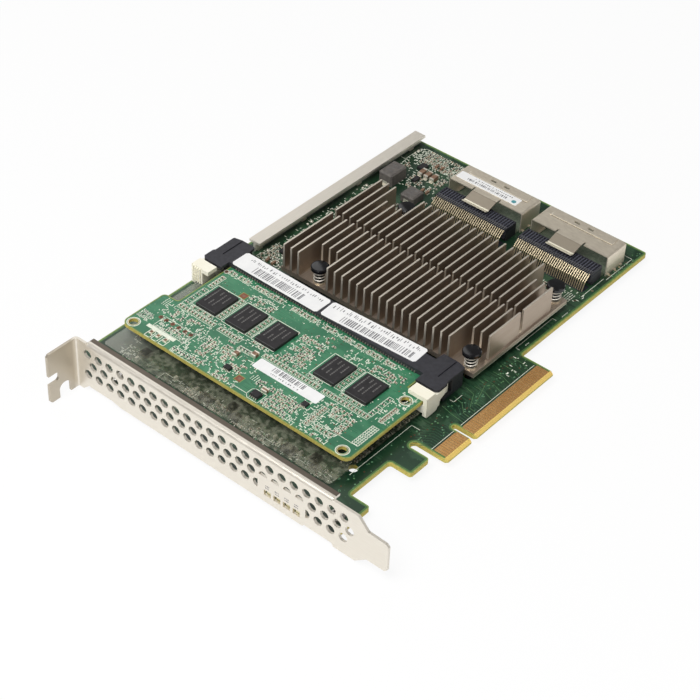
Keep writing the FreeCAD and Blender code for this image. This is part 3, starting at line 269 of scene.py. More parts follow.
def bracket_stuff():
    """Plated sheet; the flat top of its return flange is painted dark as a painted reflection, so it shows
    darker than the bend, and its screw tab gets painted shade.
    """
    shader = sheet_metal("bracket_sheet", (0.82, 0.775, 0.69), (0.77, 0.72, 0.63), 0.38,
                         (1.0, 0.12, 1.6), 0.75)
    flat = shader.both(shader.span(shader.normal("Z"), 0.8, 0.95), shader.past("Z", FLANGE_Z, 0.2))
    # painted reflection: the flange's upward flat is painted dark taupe
    shader.paint(shader.both(flat, shader.within("X", FLANGE_REFLECTION_X, 0.2)), (0.15, 0.125, 0.10))
    # painted shade over the screw tab beyond TAB_Y: strongest more than 1.5 mm out from the bend, fading to
    # none at the bend
    tab_shade = shader.span(shader.card("X"), TAB_BEND_X - 1.5, TAB_BEND_X, 0.75, 0.0)
    return shader.paint(shader.both(tab_shade, shader.past("Y", TAB_Y, 1.0)), (0.44, 0.38, 0.29))


def cage_stuff():
    """Plated cage; its spring tab slopes away from the light, the slope is painted darker as painted shade,
    and the flat end of the tab is painted bright as a painted highlight.
    """
    shader = sheet_metal("cage_sheet", (0.88, 0.80, 0.66), (0.78, 0.70, 0.57), 0.38, (0.9, 0.3, 0.9), 0.7)
    # painted shade on the slope of the spring tabs
    shader.paint(shader.within("X", CAGE_TAB_X), (0.38, 0.33, 0.26))
    # painted highlight on the tabs' flat end
    return shader.paint(shader.before("X", LIP_HIGHLIGHT_X), (0.98, 0.93, 0.76))


def sink_stuff():
    """Brown anodised extrusion: the fin sides are painted dark, partly the anodised brown and partly painted
    shade between the fins; the faces across them, where the fins and the base were cut, are painted pale,
    partly bare metal and partly painted highlight; a painted highlight runs along the foot of the sides.
    """
    shader = sheet_metal("sink_metal", (0.60, 0.51, 0.42), (0.46, 0.38, 0.31), 0.38, (0.06, 2.0, 0.5), 0.8)
    base_z = extent("heatsink")[2][0]
    above = shader.past("Z", SINK_BASE_TOP)
    facing = shader.normal("Y")
    side = shader.span(facing, 0.5, 0.9)
    # fin sides facing ±Y above the base: anodised brown, darkened further as painted shade
    shader.paint(shader.both(side, above), (0.42, 0.34, 0.265))
    # faces across the fins: bare cut metal, brightened as painted highlight
    shader.paint(shader.both(shader.span(facing, 0.1, 0.5, 1.0, 0.0), above), (0.76, 0.70, 0.60))
    # painted highlight along the lowest 0.3 mm of the sides facing ±Y
    return shader.paint(shader.both(shader.before("Z", base_z + 0.30, 0.04), side), (0.88, 0.84, 0.74))


# light and dark tone, roughness and metallic share of each plain stuff
PLAIN_STUFFS = {
    "rim": ((0.3, 0.38, 0.1), (0.2, 0.28, 0.07), 0.35),
    "rim_soft": ((0.09, 0.19, 0.06), (0.06, 0.14, 0.045), 0.35),
    "gold": ((0.95, 0.6, 0.25), (0.86, 0.49, 0.18), 0.35, 1.0),
    "wire": ((0.8, 0.68, 0.46), (0.6, 0.5, 0.32), 0.3, 0.8),
    "solder": ((0.92, 0.88, 0.76), (0.74, 0.7, 0.6), 0.3, 0.6),
    "silk": ((0.9, 0.93, 0.8), (0.8, 0.85, 0.7), 0.6),
    "epoxy": ((0.02, 0.018, 0.02), (0.013, 0.012, 0.013), 0.55),
    "socket": ((0.034, 0.034, 0.042), (0.024, 0.024, 0.03), 0.48),
    "nylon": ((0.007, 0.007, 0.009), (0.004, 0.004, 0.005), 0.12),
    "ivory": ((0.97, 0.94, 0.8), (0.95, 0.91, 0.75), 0.4),
    "ferrite": ((0.15, 0.135, 0.12), (0.105, 0.095, 0.088), 0.55),
    "ceramic": ((0.29, 0.175, 0.11), (0.19, 0.11, 0.07), 0.5),
    "resistor": ((0.06, 0.05, 0.05), (0.03, 0.028, 0.03), 0.45),
    "pad": ((0.35, 0.36, 0.38), (0.28, 0.29, 0.31), 0.8),
    "lens": ((0.8, 0.74, 0.5), (0.66, 0.58, 0.34), 0.25),
    "paper": ((0.93, 0.93, 0.92), (0.88, 0.88, 0.88), 0.6),
    "ink": ((0.24, 0.24, 0.25), (0.18, 0.18, 0.19), 0.6),
    "chip_mark": ((0.16, 0.155, 0.15), (0.11, 0.105, 0.1), 0.6),
    "teal": ((0.1, 0.34, 0.38), (0.07, 0.28, 0.32), 0.6),
    # painted light: paler patch on the board under the cages
    "ground": ((0.25, 0.3, 0.22), (0.16, 0.21, 0.15), 0.3, 0.3),
    "copper": ((0.3, 0.11, 0.06), (0.22, 0.08, 0.04), 0.4, 0.3),
    # painted shade: a darker copy of the copper for holes, vias and the fiducial's centre
    "hole_shade": ((0.1, 0.045, 0.02), (0.06, 0.03, 0.015), 0.5),
    "via": ((0.14, 0.3, 0.16), (0.09, 0.22, 0.12), 0.35),
    "track": ((0.045, 0.135, 0.068), (0.03, 0.1, 0.052), 0.3),
    "track_tan": ((0.12, 0.26, 0.11), (0.09, 0.21, 0.09), 0.3),
    # painted highlight along the memory packages' edge
    "chip_edge_highlight": ((0.1, 0.1, 0.1), (0.07, 0.07, 0.07), 0.5),
    # painted shade of the cable sockets: pocket floors and the board under the leads
    "painted_shade_black": ((0.018, 0.02, 0.03), (0.01, 0.012, 0.018), 0.6),
    # painted highlight of the cable sockets' comb and grid walls
    "comb": ((0.13, 0.13, 0.14), (0.09, 0.09, 0.1), 0.45),
    "grid": ((0.1, 0.105, 0.14), (0.075, 0.078, 0.105), 0.5),
    "contact": ((0.3, 0.28, 0.24), (0.2, 0.18, 0.15), 0.4, 0.5),
    "led": ((0.9, 0.84, 0.66), (0.8, 0.72, 0.52), 0.35),
    # painted highlight and painted shade of the cages' pressed outline
    "emboss_highlight": ((0.95, 0.9, 0.78), (0.88, 0.82, 0.7), 0.4, 0.3),
    "cage_shade": ((0.4, 0.36, 0.29), (0.34, 0.3, 0.24), 0.5, 0.3),
    "spring": ((0.9, 0.86, 0.77), (0.82, 0.77, 0.68), 0.35, 0.35),
    "sleeve": ((0.86, 0.78, 0.62), (0.7, 0.62, 0.48), 0.3, 0.8),
}
# what differs from plain's own scale, grain and relief
TEXTURES = {
    "solder": {"grain": 3.0},
    "epoxy": {"grain": 8.0},
    "socket": {"grain": 5.0},
    "nylon": {"relief": 0.004},
    "ivory": {"scale": 0.2, "grain": 4.0},
    "ferrite": {"grain": 10.0, "relief": 0.02},
    "paper": {"scale": 0.3, "grain": 6.0, "relief": 0.006},
}


def make_materials():
    shaders = {name: plain(name, *look, **TEXTURES.get(name, {})) for name, look in PLAIN_STUFFS.items()}
    shaders["mask"] = solder_mask("board_mask", (0.016, 0.052, 0.024), (0.007, 0.030, 0.014),
                                  (0.045, 0.110, 0.056), (0.08, 0.17, 0.09), 0.05, fingers=True)
    shaders["module_mask"] = solder_mask("module_mask", (0.034, 0.200, 0.096), (0.020, 0.145, 0.068),
                                         (0.060, 0.250, 0.125), (0.34, 0.48, 0.32), 0.08)
    shaders["fixing"] = sheet_metal("fixing_steel", (0.62, 0.60, 0.57), (0.45, 0.43, 0.40), 0.32, (2, 2, 2))
    shaders["rail"] = sheet_metal("rail_sheet", (0.88, 0.83, 0.74), (0.80, 0.75, 0.66), 0.42,
                                  (0.1, 1.6, 1.6), 0.6)
    shaders["bracket"] = bracket_stuff()
    shaders["cage"] = cage_stuff()
    shaders["sink"] = sink_stuff()
    shaders["film"] = film_stuff()
    return {name: shader.material for name, shader in shaders.items()}


MATERIALS = make_materials()


# ---- mesh helpers
PRINT_T = 0.03                 # thickness of print, pads and tracks


class Batch:
    """Many small solids of one kind gathered in a single object, drawn in card mm."""

    def __init__(self, name, slot, smooth=False):
        self.name, self.slot, self.smooth = name, slot, smooth
        self.points, self.faces, self.kinds, self.stuffs = [], [], [], {}

    def prism(self, outline, z0, z1, stuff, shrink=0.0):
        """Upright prism of a counter-clockwise outline, its top drawn in a little."""
        cx = sum(p[0] for p in outline) / len(outline)
        cy = sum(p[1] for p in outline) / len(outline)
        self._rows([[(cx + (x - cx) * keep, cy + (y - cy) * keep, z) for x, y in outline]
                    for z, keep in ((z0, 1.0), (z1, 1.0 - shrink))], stuff)

    def block(self, x, y, z0, size, stuff, turn=0.0, shrink=0.0):
        """Block of (length, width, height) standing on z0, turned about its middle."""
        c, s = math.cos(turn), math.sin(turn)
        half = (size[0] / 2, size[1] / 2)
        corners = [(-half[0], -half[1]), (half[0], -half[1]), (half[0], half[1]), (-half[0], half[1])]
        self.prism([(x + a * c - b * s, y + a * s + b * c) for a, b in corners],
                   z0, z0 + size[2], stuff, shrink)

    def disc(self, x, y, z0, radius, height, stuff, sides=16):
        self.prism([(x + radius * c, y + radius * s) for c, s in circle(sides)], z0, z0 + height, stuff)

    def ring(self, x, y, z, inner, outer, stuff, sides=32):
        """Flat printed ring."""
        section = ((inner, z), (inner, z + PRINT_T), (outer, z + PRINT_T), (outer, z))
        rows = [[(x + r * c, y + r * s, at) for r, at in section] for c, s in circle(sides)]
        self._rows(rows, stuff, True)

    def _rows(self, rows, stuff, closed=False):
        """Skin over rows of points, each row a closed loop; the ends are capped unless closed."""
        kind = self.stuffs.setdefault(stuff, len(self.stuffs))
        start, n = len(self.points), len(rows[0])
        for row in rows:
            self.points += [place(*p) for p in row]
        last = len(rows) - 1
        for a, b in [(i, i + 1) for i in range(last)] + ([(last, 0)] if closed else []):
            low, high = start + a * n, start + b * n
            self.faces += [[low + i, low + (i + 1) % n, high + (i + 1) % n, high + i] for i in range(n)]
        if not closed:
            self.faces.append([start + i for i in reversed(range(n))])
            self.faces.append([start + last * n + i for i in range(n)])
        self.kinds += [kind] * (len(self.faces) - len(self.kinds))

    def lathe(self, x, y, profile, stuff, sides=32, closed=False):
        """Turned solid about an upright axis; profile is (radius, z) from the foot up."""
        rows = [[(x + r * c, y + r * s, z) for c, s in circle(sides)] for r, z in profile]
        self._rows(rows, stuff, closed)

    def tube(self, path, radius, stuff, sides):
        """Round wire along a fine path."""
        rows = []
        for i, at in enumerate(path):
            ahead = Vector(path[min(i + 1, len(path) - 1)]) - Vector(path[max(i - 1, 0)])
            side = ahead.cross(Vector((0, 0, 1))).normalized()
            over = side.cross(ahead).normalized()
            rows.append([tuple(Vector(at) + (side * c + over * s) * radius) for c, s in circle(sides)])
        self._rows(rows, stuff)

    def line(self, path, width, z, stuff="silk", height=PRINT_T, closed=False):
        """Printed line along straight runs."""
        ends = list(zip(path, path[1:] + (path[:1] if closed else [])))
        for (x0, y0), (x1, y1) in ends:
            length = math.hypot(x1 - x0, y1 - y0)
            if length > 0:
                self.block((x0 + x1) / 2, (y0 + y1) / 2, z, (length + width, width, height), stuff,
                           math.atan2(y1 - y0, x1 - x0))

    def frame(self, x0, x1, y0, y1, z, width=0.15):
        self.line([(x0, y0), (x1, y0), (x1, y1), (x0, y1)], width, z, closed=True)

    def build(self):
        mesh = bpy.data.meshes.new(self.name)
        mesh.from_pydata(self.points, [], self.faces)
        for stuff in self.stuffs:
            mesh.materials.append(MATERIALS[stuff])
        mesh.polygons.foreach_set("material_index", self.kinds)
        mesh.update()
        if self.smooth:
            mesh.shade_smooth()
            mesh.set_sharp_from_angle(angle=math.radians(35))
        return add_piece(self.name, mesh)


def circle(sides):
    """Unit circle as (x, y) corners."""
    return [(math.cos(2 * math.pi * k / sides), math.sin(2 * math.pi * k / sides)) for k in range(sides)]


def add_piece(name, mesh):
    """Object of the card's body."""
    thing = bpy.data.objects.new(name, mesh)
    bpy.context.scene.collection.objects.link(thing)
    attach(thing, "card")
    return thing


SMALL_PART = (1.0, 0.5, 0.4)   # length, width and height of a surface-mount part
PART_REACH = (0.6, 0.62)       # half the room it takes, as shares of its length and width
END_SHARE = 0.28               # of its length, tinned at either end
HEADROOM = 0.5                 # nothing may hang lower over it
CROWDING = 1.15                # fields are drawn fuller, since some places turn out to be taken


class Ground:
    """Face of a board that small parts stand on, with what already stands there."""

    def __init__(self, z, board):
        self.z, self.taken, self.board = z, [], BVHTree.FromPolygons(*tree_data(board))
        self.others = [BVHTree.FromPolygons(*tree_data(n)) for n in NODES if n != board]

    def claim(self, x, y, reach_x, reach_y):
        """True, and the place is taken, where a part would stand free on the board."""
        for a, b, p, q in self.taken:
            if abs(a - x) < p + reach_x and abs(b - y) < q + reach_y:
                return False
        up, down = Vector((0, 0, 1)), Vector((0, 0, -1))
        for dx in (-1, 0, 1):
            for dy in (-1, 0, 1):
                foot = place(x + dx * reach_x, y + dy * reach_y, self.z + 0.02)
                if self.board.ray_cast(foot, down, 0.05 * MM)[0] is None:
                    return False
                if any(tree.ray_cast(foot, up, HEADROOM * MM)[0] for tree in self.others):
                    return False
        self.taken.append((x, y, reach_x, reach_y))
        return True


def tree_data(node):
    mesh = NODES[node].data
    return [v.co.copy() for v in mesh.vertices], [tuple(p.vertices) for p in mesh.polygons]


def stand(batch, ground, x, y, body, upright):
    """Surface-mount part where the ground is free: body between two tinned ends, on its pads."""
    length, width, height = SMALL_PART
    reach = (length * PART_REACH[0], width * PART_REACH[1])
    if not ground.claim(x, y, *(reach[::-1] if upright else reach)):
        return
    turn = math.pi / 2 if upright else 0.0
    end = length * END_SHARE
    batch.block(x, y, ground.z, (length - 2 * end, width, height * 0.94), body, turn)
    for way in (-1, 1):
        out = way * (length - end) / 2
        dx, dy = (0, out) if upright else (out, 0)
        batch.block(x + dx, y + dy, ground.z, (end, width, height), "solder", turn)
        pad = (end * 1.5, width * 1.15, PRINT_T)
        batch.block(x + dx * 1.18, y + dy * 1.18, ground.z, pad, "solder", turn)


def ladder(batch, print_, ground, x0, x1, y0, y1, count, body):
    """Printed frame holding a row of parts set across its long side."""
    print_.frame(x0, x1, y0, y1, ground.z)
    along_x = (x1 - x0) > (y1 - y0)
    for i in range(count):
        middle = (i + 0.5) / count
        x = x0 + (x1 - x0) * i / count
        y = y0 + (y1 - y0) * i / count
        if along_x:
            stand(batch, ground, x0 + (x1 - x0) * middle, (y0 + y1) / 2, body, True)
            rung = [(x, y0), (x, y1)]
        else:
            stand(batch, ground, (x0 + x1) / 2, y0 + (y1 - y0) * middle, body, False)
            rung = [(x0, y), (x1, y)]
        if i:
            print_.line(rung, 0.12, ground.z)


def scatter(batch, print_, ground, x0, x1, y0, y1, fill, seed, pitch):
    """Field of small parts on a loose grid, with printed ticks beside them."""
    rng = random.Random(seed)
    for i in range(int((x1 - x0) / pitch)):
        for j in range(int((y1 - y0) / pitch)):
            x = x0 + (i + 0.5) * pitch + rng.uniform(-0.2, 0.2)
            y = y0 + (j + 0.5) * pitch + rng.uniform(-0.2, 0.2)
            body = rng.choice(("ceramic", "ceramic", "resistor"))
            upright, ticks = rng.random() < 0.5, rng.random()
            if rng.random() > fill * CROWDING:
                continue
            stand(batch, ground, x, y, body, upright)
            if ticks < 0.6:
                print_.block(x + 0.7, y, ground.z, (0.15, 0.8, PRINT_T), "silk")
            if ticks > 0.35:
                print_.block(x, y + 0.75, ground.z, (rng.uniform(0.5, 1.2), 0.15, PRINT_T), "silk")


def marks(print_, x, y, z, width, rows, stuff, seed, height=0.45):
    """Rows of short plain bars where a real part has small print."""
    rng = random.Random(seed)
    for row in range(rows):
        at = 0.0
        while at < width:
            dash = rng.uniform(0.3, 0.9)
            size = (dash, height * 0.5, PRINT_T)
            print_.block(x + (at + dash / 2), y - row * (height + 0.35), z, size, stuff)
            at += dash + 0.22


def dashes(print_, x0, x1, y0, y1, z, count, seed):
    """Loose short strokes of print, square to the board."""
    rng = random.Random(seed)
    for _ in range(count):
        x, y = rng.uniform(x0, x1), rng.uniform(y0, y1)
        long, thin = rng.uniform(0.35, 1.15), 0.25
        size = (long, thin, PRINT_T) if rng.random() < 0.5 else (thin, long, PRINT_T)
        print_.block(x, y, z, size, "silk")


def dots(metal, x0, x1, y0, y1, z, radii, thick, stuffs, count, rng):
    """Loose small round pads and vias."""
    for _ in range(count):
        x, y = rng.uniform(x0, x1), rng.uniform(y0, y1)
        metal.disc(x, y, z, rng.choice(radii), thick, rng.choice(stuffs), 8)


def face_loops(node, z):
    """Outlines of a node's flat face at height z, as lists of points, the face on their left."""
    mesh = bmesh.new()
    mesh.from_mesh(NODES[node].data)
    bmesh.ops.remove_doubles(mesh, verts=mesh.verts, dist=1e-6)
    level = place(0, 0, z)[2]
    mesh.faces.index_update()
    flat = {f.index: f for f in mesh.faces
            if f.normal.z > 0.99 and abs(f.calc_center_median().z - level) < 0.02 * MM}
    follow = {}
    for face in flat.values():
        for loop in face.loops:
            if not any(f.index in flat and f is not face for f in loop.edge.link_faces):
                follow[loop.vert] = loop.link_loop_next.vert
    loops = []
    while follow:
        vert = next(iter(follow))
        path = []
        while vert in follow:
            path.append(vert.co.copy())
            vert = follow.pop(vert)
        loops.append(path)
    mesh.free()
    return loops


def rim(node, z, name, widths):
    """Bands just inside the outline of a board's face, where the mask thins out."""
    outline = max(face_loops(node, z), key=lambda path: max(p.x for p in path) - min(p.x for p in path))
    clean = [p for i, p in enumerate(outline) if (p - outline[i - 1]).length > 0.02 * MM]
    inward = []
    for i, at in enumerate(clean):
        u = (at - clean[i - 1]).normalized()
        v = (clean[(i + 1) % len(clean)] - at).normalized()
        side = Vector((-(u.y + v.y), u.x + v.x, 0))
        inward.append(side.normalized() / max(0.5, math.cos(u.angle(v, 0.0) / 2)))
    lift = Vector((0, 0, 0.008 * MM))
    points, faces, kinds = [], [], []
    for at, way in zip(clean, inward):
        points += [at + way * width * MM + lift for width in (0,) + widths]
    step = len(widths) + 1
    for i, at in enumerate(clean):
        after = (i + 1) % len(clean)
        tongue = [(p.y - DATUM.y) / MM < TIP_Y + 5 and (p.x - DATUM.x) / MM > TONGUE_X[0] - 0.5
                  for p in (at, clean[after])]
        if node == "main_board" and all(tongue):
            continue
        for k in range(len(widths)):
            faces.append([i * step + k, after * step + k, after * step + k + 1, i * step + k + 1])
            kinds.append(k)
    band = bpy.data.meshes.new(name)
    band.from_pydata(points, [], faces)
    for stuff in ("rim", "rim_soft"):
        band.materials.append(MATERIALS[stuff])
    band.polygons.foreach_set("material_index", kinds)
    add_piece(name, band)


# ---- cache module
MODULE_TOP = extent("cache_board")[2][1]
MODULE_HOLES = ((-34.5, 104.6), (-34.6, 21.1), (-6.2, 21.1))
CHIP_FRAME_X = (-16.2, -4.1)
CHIP_FRAMES_Y = ((88, 98), (76, 85.5), (64, 73.2), (41.2, 50), (28.4, 37.6))
LADDERS = {  # body and x0, x1: rows of y0, y1, parts
    ("ceramic", -20.3, -18.2): ((85.3, 100.4, 12), (74.6, 83.6, 7), (43.2, 65.2, 16), (24.2, 41.8, 13)),
    ("ceramic", 2.3, 4.2): ((97.4, 100.2, 2), (91.6, 96.2, 3), (84, 89.2, 4), (77.6, 83.4, 4),
                            (63.9, 73.6, 7), (56, 60.4, 3), (49.8, 53.2, 2), (44.8, 48, 2),
                            (37.8, 43.6, 4), (33, 36.6, 3)),
    ("ceramic", -16, -4.2): ((86, 87.9, 8), (73.6, 75.7, 7), (38, 40.4, 6)),
    ("ceramic", -6.6, 0.2): ((98.6, 100.3, 5),),
    ("ceramic", -18.6, -10.6): ((19.9, 21.4, 8),),
    ("ceramic", -33.8, -29.3): ((34.8, 37.2, 4),),
    ("ceramic", -28.8, -24.2): ((34.8, 37.2, 4),),
    ("ceramic", -33.4, -31.4): ((26.9, 33.6, 4),),
    ("ceramic", -26.4, -24.4): ((29, 33.6, 3),),
    ("ceramic", -17.6, -16.6): ((29, 37, 4),),
    ("ceramic", -17.8, -16.6): ((88.2, 97, 4),),
    ("resistor", -17.9, -8): ((98.4, 100.4, 4),),
    ("resistor", -18.6, -8.2): ((24, 25.6, 4),),
    ("resistor", -36.7, -34): ((78, 87.5, 7),),
    ("resistor", -22.4, -20.6): ((68, 73.2, 4),),
    ("resistor", -17.6, -16.6): ((44, 50, 3),),
}
MODULE_PITCH = 1.35
CLUSTERS = [  # x0, x1, y0, y1, share of places filled
    (-36.4, -32.6, 76, 80.5, 0.8), (-32.4, -23.6, 77.8, 82.6, 0.8), (-36.4, -33.4, 65.4, 71.2, 0.6),
    (-16.2, -7.6, 52.6, 61.2, 0.7), (-6.6, -3, 53, 62.5, 0.6), (-36.4, -27.4, 41.8, 51.8, 0.85),
    (-3.7, -0.8, 76.6, 86.8, 0.45), (-3.7, 0.4, 29, 38, 0.5), (-27, -22.4, 71.2, 77, 0.7),
    (-30.8, -26.4, 64.4, 74, 0.6), (-36.6, -34.6, 28.4, 35, 0.6), (-31, -22, 25.6, 28.6, 0.5),
    (-24.4, -20.8, 28, 36.6, 0.5), (-26.8, -20.9, 87.5, 99.5, 0.28), (-2.8, 1.8, 26.4, 31.6, 0.6),
    (-30.6, -27, 51.8, 58.6, 0.6), (-17.8, -16.2, 53, 72, 0.5), (-31.4, -26.8, 88, 98.6, 0.25),
    (-2.8, 1.6, 50, 60.4, 0.3), (-22.2, -20.4, 74.6, 82, 0.4),
]
DASHES = [  # x0, x1, y0, y1, strokes
    (-36.4, -27, 26, 52, 255), (-36.4, -23.4, 62, 88, 289), (-16.2, -3, 52, 62.5, 119),
    (2, 4.6, 30, 100.5, 204), (-26.6, -20.6, 84, 103, 102), (-4, 0.4, 28, 48, 85),
    (-3.6, 0.8, 76.5, 87, 61), (-31.6, -26.4, 86.4, 99, 102), (-31.6, -28, 101.4, 106.4, 61),
    (-18.4, -2.8, 18.6, 23.6, 68), (-26.8, -20.8, 26, 44, 102), (-18.2, -16.6, 44, 100, 85),
]
INDICATORS_Y = (97, 94.2, 91.2)
FIDUCIAL = (2.6, 100.8)
TEST_HOLES_X = -27.3
TEST_HOLES_Y = (100.1, 97.8, 95.1, 92.5, 89.9, 87.5)
SQUARE_PADS = ((-31.9, 63.3), (-2.6, 88.6))
MODULE_MARKS = (  # x, y, width, rows
    (-31.5, 106.4, 1.6, 6), (-29.4, 106.4, 1, 6), (-22.6, 104.6, 3.2, 3),
    (-8, 19, 4.5, 1), (-29.8, 61, 2, 4), (-36.2, 41.6, 2, 3))
MODULE_GRIDS_X = ((-30.4, -26.0), (-25.6, -21.0))
MODULE_GRID_Y = (18.9, 21.3)
MODULE_LINES = (  # width, corners
    (0.16, [(-30.6, 19), (-30.6, 32)]),
    (0.2, [(-36.4, 52.2), (-36.4, 56.2), (-35.2, 57.4), (-32.6, 57.4), (-31.9, 56.4), (-31.9, 52.2),
           (-36.4, 52.2)]),
    (0.2, [(-35.2, 57.4), (-35.2, 63.6)]),
    (0.3, [(-0.6, 76.8), (0, 77.6), (0, 79.2), (0.9, 79.8), (0.9, 82.2), (0, 82.6), (-0.4, 86.4)]))


def module_details():
    parts = Batch("module_small_parts", "ceramic_tan")
    print_ = Batch("module_print", "label_white")
    metal = Batch("module_metal", "gold_contact")
    z = MODULE_TOP
    ground = Ground(z, "cache_board")
    for (body, x0, x1), rows in LADDERS.items():
        for y0, y1, count in rows:
            ladder(parts, print_, ground, x0, x1, y0, y1, count, body)
    for seed, field in enumerate(CLUSTERS):
        scatter(parts, print_, ground, *field, seed, MODULE_PITCH)
    for y0, y1 in CHIP_FRAMES_Y:
        print_.frame(*CHIP_FRAME_X, y0, y1, z, 0.22)
    for x, y in MODULE_HOLES:
        metal.ring(x, y, z, 1.95, 2.2, "silk")
        metal.ring(x, y, z, 1.5, 1.8, "wire")
    metal.ring(*FIDUCIAL, z, 0.6, 1.0, "solder", 16)
    # painted shade in the fiducial's centre
    metal.disc(*FIDUCIAL, z, 0.6, PRINT_T * 0.6, "hole_shade")
    for y in TEST_HOLES_Y:
        metal.disc(TEST_HOLES_X, y, z, 0.75, PRINT_T, "copper")
        # painted shade inside the test holes
        metal.disc(TEST_HOLES_X, y, z, 0.4, PRINT_T * 1.5, "hole_shade")
    for x, y in SQUARE_PADS:
        for side, layers, stuff in ((2.7, 1, "rim"), (2.3, 1.5, "copper"), (0.9, 2, "ceramic")):
            metal.block(x, y, z, (side, side, PRINT_T * layers), stuff)
    print_.block(-32.5, 94.9, z, (1.4, 11.4, PRINT_T), "silk")
    print_.frame(-31.6, -26.2, 86.2, 99.2, z, 0.18)
    for y in INDICATORS_Y:
        print_.frame(-36.6, -33.5, y - 1.1, y + 1.1, z, 0.25)
    for x, y, width, rows in MODULE_MARKS:
        marks(print_, x, y, z, width, rows, "silk", rows)
    for x0, x1 in MODULE_GRIDS_X:
        low, high = MODULE_GRID_Y
        for y in (low + 0.8 * i for i in range(4)):
            print_.line([(x0, y), (x1, y)], 0.25, z)
        for x in (x0 + (x1 - x0) * i / 5 for i in range(6)):
            print_.line([(x, low), (x, high)], 0.2, z)
    for width, corners in MODULE_LINES:
        print_.line(corners, width, z)
    # some of these dots are holes with painted shade
    dots(metal, -36, 4, 25, 100, z, (0.16, 0.22), PRINT_T * 0.5, ("silk", "copper", "hole_shade"), 420,
         random.Random(7))
    for seed, (x0, x1, y0, y1, count) in enumerate(DASHES):
        dashes(print_, x0, x1, y0, y1, z, count, seed)
    for batch in (parts, print_, metal):
        batch.build()


PACKAGES = (  # x, y, length, width, height
    (-34.2, 54.55, 2.6, 3.2, 1.1), (-27.6, 41.45, 2.1, 2.1, 0.7), (-31, 68.8, 1.8, 2.4, 1))
PACKAGE_LEADS = 4              # on either side


def module_chip_bodies():
    """Small packages of the module: leaded and flat ones, and three pale indicator lamps."""
    batch = Batch("module_packages", "chip_black")
    z = MODULE_TOP
    for x, y, length, width, height in PACKAGES:
        batch.block(x, y, z + 0.1, (length, width, height - 0.1), "epoxy", shrink=0.08)
        batch.disc(x - length * 0.28, y + width * 0.3, z + height - 0.02, 0.16, PRINT_T, "chip_mark", 10)
        for way in (-1, 1):
            for k in range(PACKAGE_LEADS):
                at = y + (k - 1.5) * width / 4.2
                batch.block(x + way * (length / 2 + 0.22), at, z, (0.5, 0.26, 0.14), "solder")
                batch.block(x + way * (length / 2 + 0.02), at, z + 0.12, (0.12, 0.26, 0.4), "solder")
    for y in INDICATORS_Y:
        batch.block(-34.4, y, z, (1.8, 1.1, 0.35), "led", shrink=0.05)
        batch.block(-34.4, y, z + 0.35, (0.8, 0.8, 0.25), "ceramic", shrink=0.2)
        for way in (-1, 1):
            batch.block(-34.4 + way * 0.75, y, z, (0.28, 1.1, 0.4), "solder")
    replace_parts(batch.build(), "module_chips")


CERAMICS = 3                   # big capacitors, each CERAMIC_W wide
CERAMIC_W = 1.6
MODULE_CERAMICS = (  # x, y, length, width, height
    (-24.7, 71.2, 2.2, 1.5, 1.1), (-21.3, 66.8, 2.2, 1.8, 1.1), (-31.1, 53.8, 1.6, 2, 1))
PLATE_OUT_X = -58.25           # outer face of the bracket's plate
LED_FIRST_Y, LED_PITCH, LED_COUNT = 17.5, 3.57, 4


def power_part_ends():
    """Tinned ends of the inductors and capacitors, and the rows of bars over the status lights."""
    batch = Batch("power_terminals", "fixing_steel")
    for node in ("inductor_large", "inductor_small"):
        (x0, x1), (y0, y1), _ = extent(node)
        middle = (y0 + y1) / 2
        for x, way in ((x0, -1), (x1, 1)):
            batch.block(x + way * 0.35, middle, 0, (0.9, (y1 - y0) * 0.45, 0.12), "solder")
            batch.block(x + way * 0.03, middle, 0.1, (0.1, (y1 - y0) * 0.4, 1.5), "solder")
    (x0, x1), (y0, y1), (_, z) = extent("ceramic_capacitors")
    for k in range(CERAMICS):
        y = y0 + CERAMIC_W / 2 + (y1 - y0 - CERAMIC_W) * k / (CERAMICS - 1)
        for x, way in ((x0, 1), (x1, -1)):
            batch.block(x + way * 0.3, y, 0, (0.66, CERAMIC_W + 0.06, z + 0.02), "solder")
            batch.block(x - way * 0.3, y, 0, (0.6, CERAMIC_W - 0.1, 0.1), "solder")
    for x, y, length, width, height in MODULE_CERAMICS:
        for way in (-1, 1):
            end = (0.46, width + 0.04, height + 0.02)
            batch.block(x + way * (length / 2 - 0.2), y, MODULE_TOP, end, "solder")
    for k in range(LED_COUNT):
        y = LED_FIRST_Y + LED_PITCH * k
        for row, z in enumerate((2.9, 3.7)):
            for step in range(3):
                bar = (0.02, 0.2 + 0.12 * ((k + row + step) % 3), 0.4)
                batch.block(PLATE_OUT_X - 0.01, y - 0.5 + 0.55 * step, z, bar, "ink")
    batch.build()


MEMORY_MARKS = (  # from the package's left edge and middle, and width
    (2.6, 2.8, 7.0), (2.4, 0.9, 2.2), (7.6, 0.9, 1.8), (2.4, -0.6, 6.6), (5.2, -2.3, 3.8))
INDUCTOR_MARKS = ((0.3, 0.5), (0.5, 0.25), (0.7, 0.5))     # share of the length, and of the width


